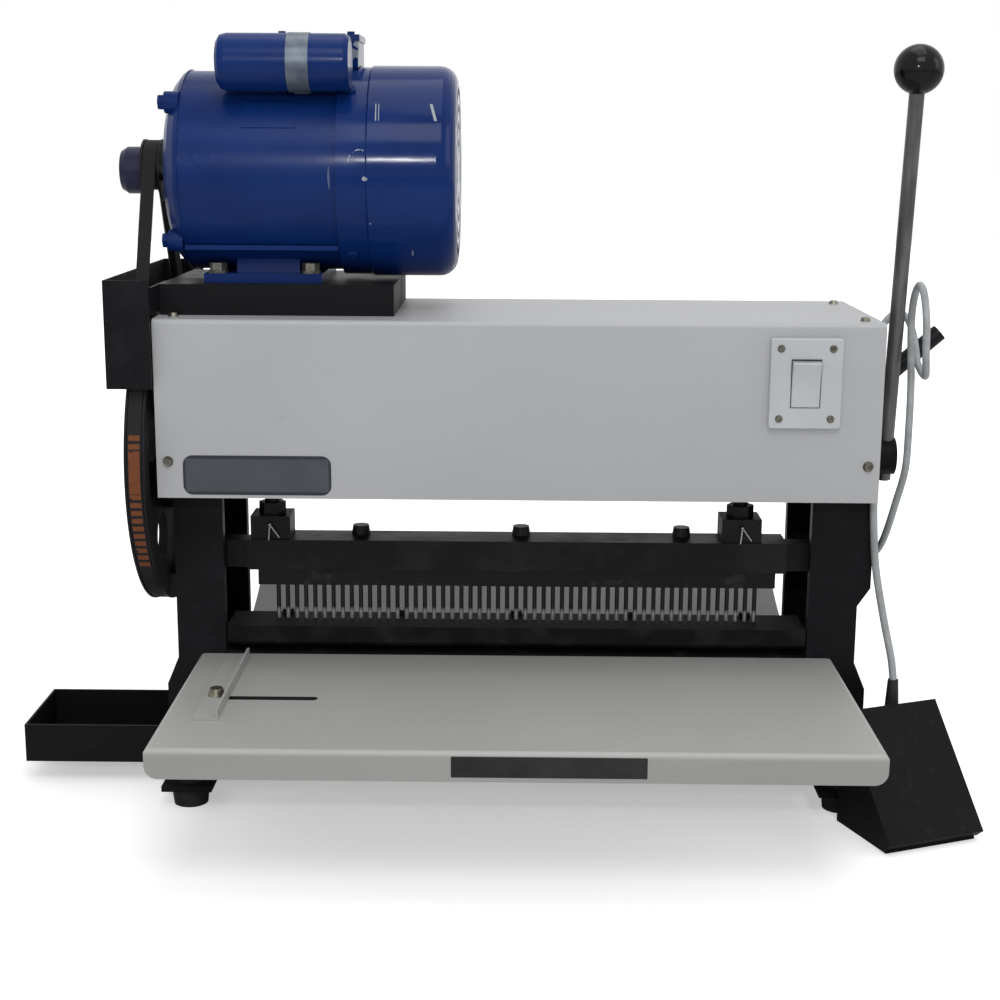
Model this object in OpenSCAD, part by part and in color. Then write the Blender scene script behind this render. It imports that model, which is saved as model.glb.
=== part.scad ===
// Motor-driven coil binding punch: a desk machine with a row of punch pins, a belt-driven flywheel,
// a hand lever and a foot switch. Millimetres, +Z up, +X to the operator's right, +Y to the back.
// The origin is the middle of the four bench bolt holes, on the surface that the machine stands on.

/* [Punching] */
// Number of punch pins
pin_count = 53; // [20:1:55]
// Spacing of the holes along the sheet's edge
pin_pitch = 6.35; // [6:0.01:6.4]
// Diameter of one punch pin
pin_d = 3; // [2.5:0.1:3.6]
// Height of the gap that the paper goes into
paper_gap = 5; // [4.5:0.5:6]

/* [Frame] */
// Outside width over the two side frames
frame_w = 463; // [450:1:480]
// Thickness of a side frame's web
web_t = 10; // [8:0.5:12]
// Width of a side frame's front and rear flanges
flange_w = 33; // [28:1:36]
// Thickness of the flanges
flange_t = 8; // [6:0.5:10]
// Front face of the side frames
frame_front = -24; // [-26:0.5:-22]
// Rear face of the side frames
frame_back = 86; // [82:1:90]
// Outward flare of the frames at the foot
foot_flare = 8; // [5:0.5:9]
// Height of the rails under the motor
rail_h = 20; // [16:1:24]
// Thickness of the base plate
base_t = 4; // [3:0.5:6]
// Height of the rubber feet
foot_h = 12; // [10:0.5:14]
// Diameter of the rubber feet
foot_d = 26; // [22:1:28]
// Spacing of the bench bolts across the machine
bolt_span_x = 444; // [436:1:450]
// Spacing of the bench bolts from front to back
bolt_span_y = 88; // [84:1:92]
// Diameter of the bench bolt holes
bench_bolt_d = 9; // [7:0.5:11]

/* [Table] */
// Width of the paper table
table_w = 432; // [420:1:440]
// Depth of the paper table
table_d = 185; // [170:1:200]
// Height of the paper table's top
table_z = 100; // [96:1:104]
// Height of the table's turned-down lip
table_lip = 18.5; // [17:0.5:22]
// Thickness of the table's sheet
table_t = 2; // [1.5:0.25:3]
// Radius of the lip's lower corners
lip_r = 8; // [5:0.5:8]
// Length of the side gauge's slot
slot_len = 68; // [60:1:76]

/* [Cover] */
// Width of the top cover
cover_w = 467; // [466:0.5:470]
// Height of the top cover
cover_h = 116; // [110:1:120]
// Height of the cover's lower edge
cover_z = 217; // [214:1:220]
// Front face of the cover
cover_front = -62; // [-70:1:-58]
// Rear face of the cover
cover_back = 92; // [91:1:96]
// Thickness of the cover's sheet
cover_t = 1.2; // [0.8:0.1:1.2]

/* [Drive] */
// Distance of the crank shaft behind the row of pins
shaft_y = 26; // [22:1:30]
// Height of the crank shaft
shaft_z = 232; // [230:1:236]
// Diameter of the crank shaft
shaft_d = 25; // [22:1:28]
// Throw of the crank pins
crank_throw = 11.8; // [10:0.1:12]
// Turn of the hand lever from rest to the end of the stroke
lever_turn = 70; // [60:1:75]
// Diameter of the flywheel
flywheel_d = 206; // [190:1:212]
// Width of the flywheel's rim
flywheel_w = 13; // [12:0.5:14]
// Distance of the belt's middle plane from the cover's side
belt_out = 11.5; // [10.5:0.5:13.5]
// Width of the belt at its back
belt_w = 9; // [7:0.5:9]
// Height of the belt's section
belt_t = 6; // [5:0.5:7]
// Pitch radius of the motor pulley
pulley_r = 17; // [15:0.5:19]

/* [Motor] */
// Distance of the motor's axis behind the row of pins
motor_y = 22; // [18:1:26]
// Height of the motor's axis
motor_z = 424; // [422:1:430]
// Radius of the motor's body
motor_r = 65; // [60:1:66]
// Radius of the fan cowl
cowl_r = 69; // [67:0.5:70]
// Left end of the motor's body
motor_left = -234; // [-234:1:-228]
// Joint between the motor's body and its fan cowl
motor_seam = -117; // [-122:1:-112]
// Right end of the fan cowl
motor_right = -41; // [-46:1:-36]

/* [Lever] */
// Distance of the hand lever's middle plane from the cover's side
lever_out = 22.5; // [20.5:0.5:26.5]
// Length of the lever from the shaft to the ball's middle
lever_len = 262; // [240:1:280]
// Lean of the lever towards the operator at rest
lever_lean = 8; // [0:1:15]
// Diameter of the lever's rod
lever_d = 10; // [8:0.5:12]
// Diameter of the ball knob
ball_d = 32; // [28:1:36]

/* [Chip drawer] */
// Length of the drawer
drawer_len = 400; // [360:1:410]
// Depth of the drawer from front to back
drawer_d = 78; // [70:1:80]
// Height of the drawer
drawer_h = 27; // [22:1:30]
// Thickness of the drawer's sheet
drawer_t = 1.5; // [1:0.25:2]
// How far the drawer stands out of the left side
drawer_out = 112; // [20:1:130]

/* [Foot switch] */
// Width of the foot switch
pedal_w = 72; // [64:1:80]
// Length of the treadle plate
pedal_len = 93; // [90:1:105]
// Slope of the treadle at rest
pedal_slope = 50; // [44:1:52]
// Thickness of the treadle plate
pedal_t = 3; // [2:0.5:4]
// Turn of the foot switch on the floor
pedal_yaw = 22; // [15:1:30]
// Diameter of the foot switch's cord
cord_d = 5; // [5:0.5:5.5]

/* [Hidden] */
$fn = 64;

// Clearances: between fixed pieces, of turning fits, and between pieces that pass each other
fit = 0.1;
run = 0.05;
gap = 0.3;

// Heights and faces that several pieces share
frame_x = frame_w / 2;
web_in = frame_x - web_t;
flange_in = frame_x - flange_w;
base_top = foot_h + base_t;
cover_top = cover_z + cover_h;
frame_top = cover_top - cover_t - rail_h;
base_front = frame_front - 2;
cover_side = cover_w / 2;
lever_x = cover_side + lever_out;
belt_x = -cover_side - belt_out;
base_back = 102;
flare_top = 97;
flare_end = 78;

// Punch beam and its pins, from the top down
beam_half = 184;
beam_d = 30;
beam_top = 178;
beam_h = 21;
tongue_d = 16;
tongue_h = 19;
plate_half = 177;
plate_d = 26;
plate_h = 11;
pin_x0 = -(pin_count - 1) * pin_pitch / 2;
plate_z = beam_top - beam_h - plate_h;
guide_h = 14;
guide_z = table_z + paper_gap;
pin_tip = guide_z + 1.5;
die_h = 18;
die_front = frame_front + 2;
die_back = 15;
stop_front = 4.5;
stroke = 2 * crank_throw * sin(lever_turn / 2);

// Connecting yokes on the beam: their places along it and the crank pins that drive them
yoke_xs = [-168, 153];
yoke_w = 22;
crank_pin_d = 12;
slot_play = 0.45;
pin_rest_y = shaft_y - crank_throw * cos(lever_turn / 2);
pin_rest_z = shaft_z + crank_throw * sin(lever_turn / 2);
stud_d = 10;
nut_h = 8;

// Belt drive
flywheel_r = flywheel_d / 2;
belt_pitch_r = flywheel_r - belt_t / 2 - 0.5;
belt_slope = 0.36;
drive_len = norm([motor_y - shaft_y, motor_z - shaft_z]);
drive_tilt = atan2(motor_z - shaft_z, motor_y - shaft_y);
wrap_half = acos((belt_pitch_r - pulley_r) / drive_len);
pulley_w = 13;

// Motor base and guard
mbase_left = -cover_side + 0.5;
mbase_right = -81;
mbase_front = -36;
mbase_back = 85;
mbase_h = 20;
mbase_top = cover_top + mbase_h;
motor_foot_h = 6;

// Places a profile drawn in the Y-Z plane, with its thickness along +X from x
module yz(x = 0) {
    translate([x, 0, 0])
        rotate([90, 0, 90])
            children();
}

// A body turned about an axis along X, from a profile of radius and place along X
module turned(y, z, profile) {
    yz() translate([y, z, 0]) rotate_extrude($fn = 96) polygon(profile);
}

// A plain round bar along X
module bar_x(x0, x1, y, z, d) {
    translate([x0, y, z]) rotate([0, 90, 0]) cylinder(d = d, h = x1 - x0);
}

// A box by its lowest and highest corners
module block(low, high) {
    translate(low) cube(high - low);
}

// A rectangle with rounded corners, centred
module round_rect(w, h, r) {
    union() {
        square([w - 2 * r, h], center = true);
        square([w, h - 2 * r], center = true);
        for (x = [-1, 1], y = [-1, 1])
            translate([x * (w / 2 - r), y * (h / 2 - r)]) circle(r);
    }
}

// A hexagon head or nut standing up from z
module hex_z(x, y, z, across, h) {
    translate([x, y, z]) cylinder(d = across / cos(30), h = h, $fn = 6);
}

// Frame and bed

bearing_od = 40;
bearing_flange_od = 62;
bearing_flange_t = 12;
drawer_front = -14;
door_play = 1;
rail_d = 20;
rail_front = -22;
rail_back = 56;

base_half = frame_x + foot_flare;
base_ear_w = foot_d + 8;

// Steel plate that the frames stand on, with an ear for each front foot
module base_plate() {
    color("#1c1c1f") difference() {
        union() {
            block([-base_half, base_front, foot_h], [base_half, base_back, base_top]);
            for (x = [-base_half, base_half - base_ear_w])
                block([x, -bolt_span_y / 2 - foot_d / 2 - 1, foot_h], [x + base_ear_w, base_front + 1, base_top]);
        }
        bench_holes(foot_spigot_d + 2 * fit);
    }
}

foot_spigot_d = 16;

// Upright holes at the four bench bolts
module bench_holes(d) {
    for (x = [-1, 1], y = [-1, 1])
        translate([x * bolt_span_x / 2, y * bolt_span_y / 2, -1]) cylinder(d = d, h = base_top + 2);
}

// Rubber feet with a spigot in the base plate and a hole for a bench bolt
module rubber_feet() {
    color("#141414") difference() {
        for (x = [-1, 1], y = [-1, 1])
            translate([x * bolt_span_x / 2, y * bolt_span_y / 2, 0]) {
                cylinder(d1 = foot_d - 3, d2 = foot_d, h = foot_h);
                cylinder(d = foot_spigot_d, h = base_top);
            }
        bench_holes(bench_bolt_d);
    }
}

cheek_z = 137;
cheek_out = 8.5;

// Right-hand side frame: a web with flanges, flared at the foot, with a cheek on the side without a door
module side_frame(has_door) {
    color("#1d1d20") difference() {
        union() {
            block([web_in, frame_front, base_top], [frame_x, frame_back, frame_top]);
            for (y = [frame_front, frame_back - flange_t])
                block([flange_in, y, base_top], [frame_x, y + flange_t, frame_top]);
            translate([0, frame_front + flange_t, 0]) rotate([90, 0, 0])
                linear_extrude(flange_t) polygon([
                    [web_in, base_top], [frame_x + foot_flare, base_top],
                    [frame_x + foot_flare, flare_end], [frame_x, flare_top], [web_in, flare_top]]);
            if (!has_door) translate([0, frame_front + flange_t, 0]) rotate([90, 0, 0])
                linear_extrude(flange_t) polygon([
                    [web_in, cheek_z], [frame_x, cheek_z], [frame_x + cheek_out, cheek_z + 1.5 * cheek_out],
                    [frame_x + cheek_out, cover_z - gap], [web_in, cover_z - gap]]);
        }
        bar_x(web_in - 1, frame_x + 1, shaft_y, shaft_z, bearing_od);
        if (has_door)
            block([web_in - 1, drawer_front - door_play, base_top - 1],
                [frame_x + 1, drawer_front + drawer_d + door_play, base_top + gap + drawer_h + door_play]);
        if (!has_door) {
            bar_x(web_in - 1, frame_x + 1, peg_y, peg_z, peg_d);
            bar_x(web_in - 1, frame_x + 1, gland_y, gland_z, gland_thread_d);
        }
    }
}

module right_side_frame() { side_frame(false); }
module left_side_frame() { mirror([1, 0, 0]) side_frame(true); }

// Square rails across the frames, under the cover, that carry the motor
module motor_rails() {
    color("#1d1d20") for (y = [rail_front, rail_back])
        block([-frame_x, y, frame_top], [frame_x, y + rail_d, frame_top + rail_h]);
}

// Flanged bearing of the crank shaft in a side frame
module bearing() {
    inner = shaft_d / 2 + run;
    color("#8d8f92") turned(shaft_y, shaft_z, [
        [inner, web_in - bearing_flange_t], [bearing_flange_od / 2, web_in - bearing_flange_t],
        [bearing_flange_od / 2, web_in], [bearing_od / 2 - run, web_in],
        [bearing_od / 2 - run, frame_x], [inner, frame_x]]);
}

module right_bearing() { bearing(); }
module left_bearing() { mirror([1, 0, 0]) bearing(); }

bed_half = flange_in - 0.5;
die_bolt_xs = [-160, -80, 0, 80, 160];
die_bolt_y = 10;
die_bolt_d = 4;
die_bolt_head_d = 8;
die_bolt_head_h = 4;
pin_play = 0.2;

// A hole for each punch pin, and one for each of the bolts behind them
module bed_holes(z0, z1, pin_hole_d) {
    for (i = [0 : pin_count - 1])
        translate([pin_x0 + i * pin_pitch, 0, z0 - 1]) cylinder(d = pin_hole_d, h = z1 - z0 + 2, $fn = 24);
    for (x = die_bolt_xs)
        translate([x, die_bolt_y, z0 - 1]) cylinder(d = die_bolt_d + 2 * fit, h = z1 - z0 + 2, $fn = 32);
}

// Hardened die that the pins punch into, with lugs against the frames' webs
module die_plate() {
    color("#26262a") difference() {
        union() {
            block([-bed_half, die_front, table_z - die_h], [bed_half, die_back, table_z]);
            block([-web_in, frame_front + flange_t + gap, table_z - die_h], [web_in, die_back, table_z]);
        }
        bed_holes(table_z - die_h, table_z, pin_d + pin_play);
    }
}

// Strip behind the pins that the sheet's edge stops against
module paper_stop() {
    color("#26262a") difference() {
        block([-bed_half, stop_front, table_z], [bed_half, die_back, guide_z]);
        for (x = die_bolt_xs)
            translate([x, die_bolt_y, table_z - 1]) cylinder(d = die_bolt_d + 2 * fit, h = paper_gap + 2);
    }
}

guide_lead = 3;

// Upper bar that guides the pins and strips the paper off them, with a lead-in over the paper's way
module pin_guide() {
    color("#26262a") difference() {
        yz(-bed_half) linear_extrude(2 * bed_half) polygon([
            [die_front + guide_lead, guide_z], [die_back, guide_z], [die_back, guide_z + guide_h],
            [die_front, guide_z + guide_h], [die_front, guide_z + guide_lead]]);
        bed_holes(guide_z, guide_z + guide_h, pin_d + pin_play);
    }
}

// Cap screws that hold the guide, the stop and the die together
module die_bolts() {
    color("#2c2c30") for (x = die_bolt_xs) translate([x, die_bolt_y, 0]) {
        translate([0, 0, table_z - die_h]) cylinder(d = die_bolt_d, h = die_h + paper_gap + guide_h + 1);
        translate([0, 0, guide_z + guide_h]) cylinder(d = die_bolt_head_d, h = die_bolt_head_h);
    }
}

beam_guide_in = 205;
beam_guide_d = 28;
beam_guide_z0 = 132;
beam_guide_z1 = 204;
tongue_end = web_in - 3;

// Grooved guide on the frame's web that the beam's tongue slides in
module beam_guide() {
    color("#2b2b2f") difference() {
        block([beam_guide_in, -beam_guide_d / 2, beam_guide_z0], [web_in, beam_guide_d / 2, beam_guide_z1]);
        block([beam_guide_in - 1, -tongue_d / 2 - run, beam_guide_z0 - 1],
            [tongue_end + 1, tongue_d / 2 + run, beam_guide_z1 + 1]);
    }
}

module right_beam_guide() { beam_guide(); }
module left_beam_guide() { mirror([1, 0, 0]) beam_guide(); }

chute_r = 240;
chute_mid_y = 40;
chute_t = 1.5;
chute_back = 150;
chute_z = 91;
chute_centre_z = chute_z + sqrt(pow(chute_r, 2) - pow(chute_mid_y - die_back, 2));

// Curved sheet behind the die that carries the sheets' edges and the waste away
module waste_chute() {
    color("#9a9b9d") yz(-bed_half) linear_extrude(2 * bed_half) intersection() {
        translate([chute_mid_y, chute_centre_z]) difference() {
            circle(chute_r, $fn = 180);
            circle(chute_r - chute_t, $fn = 180);
        }
        translate([die_back, 0]) square([chute_back - die_back, chute_centre_z - chute_r / 2]);
    }
}

// Table, cover and what is fixed to them

table_back = frame_front - 0.5;
table_front = table_back - table_d;
edge_r = 3;
slot_y = -117.5;
slot_x0 = -193;
slot_w = 7;
gauge_screw_x = -189;

// A sheet tray drawn upside down: its outline from the front, with its own radius above and below
module sheet_outline(w, z0, z1, r_top, r_low, y0, y1) {
    translate([0, y1, 0]) rotate([90, 0, 0]) linear_extrude(y1 - y0) union() {
        translate([-w / 2 + r_low, z0]) square([w - 2 * r_low, z1 - z0]);
        translate([-w / 2, z0 + r_low]) square([w, z1 - z0 - r_low - r_top]);
        translate([-w / 2 + r_top, z0 + r_low]) square([w - 2 * r_top, z1 - z0 - r_low]);
        for (s = [-1, 1]) {
            translate([s * (w / 2 - r_low), z0 + r_low]) circle(r_low);
            translate([s * (w / 2 - r_top), z1 - r_top]) circle(r_top);
        }
    }
}

// Paper table: a folded sheet with a lip on three sides and a slot for the side gauge
module table() {
    color("#b9bab8") difference() {
        sheet_outline(table_w, table_z - table_lip, table_z, edge_r, lip_r, table_front, table_back);
        sheet_outline(table_w - 2 * table_t, table_z - table_lip - lip_r, table_z - table_t, edge_r - 1,
            lip_r, table_front + table_t, table_back + 1);
        difference() {
            block([-table_w, table_front - 1, table_z - edge_r], [table_w, table_front + edge_r, table_z + 1]);
            bar_x(-table_w - 1, table_w + 1, table_front + edge_r, table_z - edge_r, 2 * edge_r);
        }
        for (x = [slot_x0 + slot_w / 2, slot_x0 + slot_len - slot_w / 2])
            translate([x, slot_y, table_z - table_t - 1]) cylinder(d = slot_w, h = table_t + 2);
        block([slot_x0 + slot_w / 2, slot_y - slot_w / 2, table_z - table_t - 1],
            [slot_x0 + slot_len - slot_w / 2, slot_y + slot_w / 2, table_z + 1]);
    }
}

bracket_x = 200;
bracket_t = 6;
bracket_foot = 12;
bracket_reach = 150;
bracket_z0 = 45;

// Gusset plates on the frames that carry the table
module table_brackets() {
    color("#1d1d20") for (side = [0, 1]) mirror([side, 0, 0]) union() {
        yz(bracket_x) linear_extrude(bracket_t) polygon([
            [frame_front, bracket_z0], [frame_front, table_z - table_t],
            [frame_front - bracket_reach, table_z - table_t],
            [frame_front - bracket_reach, table_z - table_lip + 2], [frame_front - bracket_t, bracket_z0]]);
        block([bracket_x, frame_front - 4, bracket_z0],
            [bracket_x + bracket_foot, frame_front, table_z - table_t]);
    }
}

cover_corner = 3;
shaft_hole_d = shaft_d + 8;
peg_hole_d = 16;

// Folded sheet cover, open below, with holes for the shaft's ends, the peg and the switch
module top_cover() {
    inner_w = cover_w - 2 * cover_t;
    color("#c3c4c4") difference() {
        intersection() {
            block([-cover_w / 2, cover_front, cover_z], [cover_w / 2, cover_back, cover_top]);
            yz(-cover_w) linear_extrude(2 * cover_w) union() {
                translate([cover_front, cover_z])
                    square([cover_back - cover_front, cover_h - cover_corner]);
                translate([cover_front + cover_corner, cover_z])
                    square([cover_back - cover_front - 2 * cover_corner, cover_h]);
                for (y = [cover_front + cover_corner, cover_back - cover_corner])
                    translate([y, cover_top - cover_corner]) circle(cover_corner);
            }
        }
        block([-inner_w / 2, cover_front + cover_t, cover_z - 1],
            [inner_w / 2, cover_back - cover_t, cover_top - cover_t]);
        bar_x(-cover_w, cover_w, shaft_y, shaft_z, shaft_hole_d);
        bar_x(0, cover_w, peg_y, peg_z, peg_hole_d);
        block([switch_x - rocker_w / 2 - 1, cover_front - 1, switch_z - rocker_h / 2 - 1],
            [switch_x + rocker_w / 2 + 1, cover_front + cover_t + 1, switch_z + rocker_h / 2 + 1]);
    }
}

screw_d = 7;
screw_h = 2.4;
cover_screw_x = cover_side - 7.5;
front_screw_z = 241;
top_screw_ys = [cover_front + 18, cover_back - 24];

// Pan heads of the cover's screws, on its front and top
module cover_screws() {
    color("#8c8877") for (side = [-1, 1]) {
        translate([side * cover_screw_x, cover_front, front_screw_z]) rotate([90, 0, 0]) pan_head();
        for (y = top_screw_ys)
            translate([side * (cover_screw_x - cover_corner), y, cover_top]) pan_head();
    }
}

// A slotted pan head standing on the plane z = 0
module pan_head(d = screw_d, h = screw_h) {
    difference() {
        cylinder(d1 = d, d2 = d * 0.72, h = h);
        for (turn = [0, 90]) rotate(turn)
            translate([-d / 4, -d / 14, h - 0.9]) cube([d / 2, d / 7, 2]);
    }
}

switch_x = 183;
switch_z = 295;
switch_w = 46;
switch_h = 58;
switch_t = 4;
rocker_w = 19;
rocker_h = 31;
rocker_tilt = 8;
rocker_y = cover_front - 1;
pivot_d = 2.4;
switch_screw_inset = 6.5;

// White plate around the rocker switch, with the rocker's pivot pin across its window
module switch_plate() {
    color("#e9e9ea") union() {
        difference() {
            translate([switch_x, cover_front, switch_z]) rotate([90, 0, 0]) linear_extrude(switch_t)
                round_rect(switch_w, switch_h, 2);
            block([switch_x - rocker_w / 2, cover_front - switch_t - 1, switch_z - rocker_h / 2],
                [switch_x + rocker_w / 2, cover_front + 1, switch_z + rocker_h / 2]);
        }
        bar_x(switch_x - rocker_w / 2 - 0.8, switch_x + rocker_w / 2 + 0.8, rocker_y, switch_z, pivot_d);
    }
}

// Rocker on its pivot pin, tipped to one side, with a dished face
module rocker_switch() {
    half = rocker_h / 2 - 1.1;
    color("#f2f2f3") translate([0, rocker_y, switch_z]) rotate([rocker_tilt, 0, 0])
        yz(switch_x - rocker_w / 2 + gap) linear_extrude(rocker_w - 2 * gap) difference() {
            polygon([[-5.5, half], [-4, 0], [-5.5, -half], [3, -half + 2], [3, half - 2]]);
            circle(d = pivot_d + 2 * run);
        }
}

// Screws at the corners of the switch plate
module switch_screws() {
    color("#9a9a98") for (x = [-1, 1], z = [-1, 1])
        translate([switch_x + x * (switch_w / 2 - switch_screw_inset), cover_front - switch_t,
            switch_z + z * (switch_h / 2 - switch_screw_inset)])
            rotate([90, 0, 0]) pan_head(5, 1.2);
}

gauge_w = 16;
gauge_front = -160;
gauge_back = -34;
gauge_t = 1.5;
fence_h = 7;
gauge_lift = 0.1;
gauge_hole_d = 3.4;

// Side gauge: a strip on the table with an upright fence that squares the sheets
module side_gauge() {
    color("#b9bab8") translate([gauge_screw_x, 0, table_z + gauge_lift]) difference() {
        union() {
            block([-gauge_w / 2, gauge_front, 0], [gauge_w / 2, gauge_back, gauge_t]);
            block([gauge_w / 2 - gauge_t, gauge_front, 0], [gauge_w / 2, gauge_back, fence_h]);
        }
        translate([0, slot_y, -1]) cylinder(d = gauge_hole_d, h = gauge_t + 2);
    }
}

// Clamp screw of the side gauge, through the table's slot into its nut
module gauge_screw() {
    color("#7d765c") translate([gauge_screw_x, slot_y, table_z]) {
        translate([0, 0, gauge_lift + gauge_t]) cylinder(d1 = 11, d2 = 8, h = 5);
        translate([0, 0, -12]) cylinder(d = 3, h = 12 + gauge_t + 1);
        translate([0, 0, -table_t - gauge_lift - 4]) cylinder(d = (slot_w + 5) / cos(30), h = 4, $fn = 6);
    }
}

drawer_left = -frame_x - drawer_out;
drawer_z = base_top + gap;

// Open sheet drawer for the chips, drawn partly out of the left side
module chip_drawer() {
    color("#18181a") difference() {
        block([drawer_left, drawer_front, drawer_z],
            [drawer_left + drawer_len, drawer_front + drawer_d, drawer_z + drawer_h]);
        block([drawer_left + drawer_t, drawer_front + drawer_t, drawer_z + drawer_t],
            [drawer_left + drawer_len - drawer_t, drawer_front + drawer_d - drawer_t,
                drawer_z + drawer_h + 1]);
    }
}

// Motor and its seat

mbase_wall = 3;
foot_left = -206;
foot_right = -129;
foot_front = motor_y - 46;
foot_back = motor_y + 46;
motor_bolt_xs = [-198, -137];
motor_bolt_ys = [motor_y - 36, motor_y + 36];
motor_bolt_d = 6;

// Holes for the bolts that hold the motor's foot down
module motor_bolt_holes() {
    for (x = motor_bolt_xs, y = motor_bolt_ys)
        translate([x, y, mbase_top - mbase_wall - 1])
            cylinder(d = motor_bolt_d + 2 * fit, h = mbase_wall + motor_foot_h + 2);
}

// Inverted steel tray on the cover that the motor stands on
module motor_base() {
    color("#1b1b1e") difference() {
        block([mbase_left, mbase_front, cover_top], [mbase_right, mbase_back, mbase_top]);
        block([mbase_left + mbase_wall, mbase_front + mbase_wall, cover_top - 1],
            [mbase_right - mbase_wall, mbase_back - mbase_wall, mbase_top - mbase_wall]);
        motor_bolt_holes();
    }
}

guard_left = belt_x - 17;
guard_t = 1.5;
guard_front = -70;
guard_back = 122;
guard_z0 = 289;
guard_z1 = 358;
ear_z0 = cover_top + 3;
ear_back = -10;

// Sheet guard round the front, left and back of the belt, with an ear on the motor base
module belt_guard() {
    guard_right = mbase_left;
    color("#1b1b1e") union() {
        block([guard_left, guard_front, guard_z0], [guard_left + guard_t, guard_back, guard_z1]);
        for (y = [guard_front, guard_back - guard_t])
            block([guard_left, y, guard_z0], [guard_right, y + guard_t, guard_z1]);
        block([guard_right - guard_t, guard_front, ear_z0], [guard_right, ear_back, mbase_top]);
    }
}

bell_x = motor_left + 16;
motor_shaft_d = 14;
boss_r = 22;
rib_w = 3;
ledge = 48;
pedestal_left = -186;
pedestal_right = -144.5;
pedestal_d = 56;

// Cast stator housing with its pedestal, foot and a long ledge on each side
module motor_housing() {
    color("#1c3c8c") difference() {
        union() {
            turned(motor_y, motor_z, [[0, bell_x], [motor_r, bell_x], [motor_r, motor_seam], [0, motor_seam]]);
            block([bell_x + 0.5, motor_y - ledge, motor_z - ledge - rib_w / 2],
                [motor_seam - 0.5, motor_y + ledge, motor_z - ledge + rib_w / 2]);
            yz(pedestal_left) linear_extrude(pedestal_right - pedestal_left) polygon([
                [motor_y - pedestal_d / 2 - 8, mbase_top + motor_foot_h - 1],
                [motor_y + pedestal_d / 2 + 8, mbase_top + motor_foot_h - 1],
                [motor_y + pedestal_d / 2, motor_z - 40], [motor_y - pedestal_d / 2, motor_z - 40]]);
            block([foot_left, foot_front, mbase_top], [foot_right, foot_back, mbase_top + motor_foot_h]);
        }
        bar_x(bell_x - 1, motor_seam + 1, motor_y, motor_z, motor_shaft_d + 2);
        motor_bolt_holes();
    }
}

lug_count = 4;
lug_d = 14;
lug_ring = 62;

// Domed end bell on the drive side, with lugs for its long bolts
module motor_end_bell() {
    color("#1c3c8c") difference() {
        union() {
            turned(motor_y, motor_z, [
                [0, motor_left], [boss_r, motor_left], [boss_r + 4, motor_left + 3], [48, motor_left + 4],
                [58, motor_left + 8], [motor_r - 1, motor_left + 13], [motor_r + 1, bell_x], [0, bell_x]]);
            for (k = [0 : lug_count - 1])
                translate([motor_left + 6, motor_y, motor_z]) rotate([45 + k * 360 / lug_count, 0, 0])
                    translate([0, 0, lug_ring]) rotate([0, 90, 0])
                        cylinder(d = lug_d, h = bell_x - motor_left - 6.5);
        }
        bar_x(motor_left - 1, bell_x + 1, motor_y, motor_z, motor_shaft_d + 2 * run);
    }
}

cowl_t = 1.5;
cowl_round = 12;
cowl_bead = -97;
grille_rings = [18, 29, 40, 51];
grille_slot = 5;

// Pressed fan cowl: a drum with a rounded end and a grille of ring slots
module fan_cowl() {
    color("#1c3c8c") difference() {
        turned(motor_y, motor_z, concat(
            [[motor_r + fit, motor_seam], [cowl_r - 1, motor_seam], [cowl_r - 1, cowl_bead - 1],
                [cowl_r, cowl_bead]],
            [for (a = [90 : -15 : 0])
                [cowl_r - cowl_round + cowl_round * sin(a), motor_right - cowl_round + cowl_round * cos(a)]],
            [[0, motor_right], [0, motor_right - cowl_t], [cowl_r - cowl_round, motor_right - cowl_t],
                [cowl_r - cowl_t - 1, motor_right - cowl_round], [cowl_r - cowl_t - 1, motor_seam + 14],
                [motor_r + fit, motor_seam + 14]]));
        for (r = grille_rings) difference() {
            turned(motor_y, motor_z, [
                [r, motor_right - cowl_t - 1], [r + grille_slot, motor_right - cowl_t - 1],
                [r + grille_slot, motor_right + 1], [r, motor_right + 1]]);
            for (turn = [0 : 60 : 179])
                translate([motor_right, motor_y, motor_z]) rotate([turn, 0, 0])
                    cube([20, 6, 160], center = true);
        }
    }
}

// Bolts and nuts on the motor's foot
module motor_bolts() {
    color("#8f8b78") for (x = motor_bolt_xs, y = motor_bolt_ys) {
        translate([x, y, mbase_top - mbase_wall - 6])
            cylinder(d = motor_bolt_d, h = mbase_wall + motor_foot_h + 12);
        translate([x, y, mbase_top + motor_foot_h]) cylinder(d = 13, h = 1.5);
        hex_z(x, y, mbase_top + motor_foot_h + 1.5, 10, 5);
    }
}

cap_left = -192;
cap_right = -108;
cap_r = 18;
cap_at = 53;
cap_ring = cowl_r - 1 + cap_r + fit;
cap_y = motor_y - cap_ring * cos(cap_at);
cap_z = motor_z + cap_ring * sin(cap_at);
band_left = -147;
band_w = 14;
band_t = 0.5;

// Start capacitor lying along the motor, against its cowl
module capacitor() {
    color("#1c3c8c") turned(cap_y, cap_z, [[0, cap_left], [cap_r - 4, cap_left], [cap_r - 1, cap_left + 2],
        [cap_r, cap_left + 6], [cap_r, cap_right - 3], [cap_r - 2, cap_right], [0, cap_right]]);
}

// Bright band round the capacitor, with a foot on the motor
module capacitor_band() {
    color("#8e9aa8") union() {
        turned(cap_y, cap_z, [[cap_r + run, band_left], [cap_r + band_t, band_left],
            [cap_r + band_t, band_left + band_w], [cap_r + run, band_left + band_w]]);
        translate([band_left + 2, motor_y, motor_z]) rotate([90 - cap_at, 0, 0])
            translate([0, -4, motor_r + fit]) cube([band_w - 4, 8, cap_ring - cap_r - motor_r - fit - 0.2]);
    }
}

box_left = -161;
box_right = -106;
box_front = motor_y - 18;
box_back = motor_y + 26;
box_top = 508;
lid_t = 4;

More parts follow.
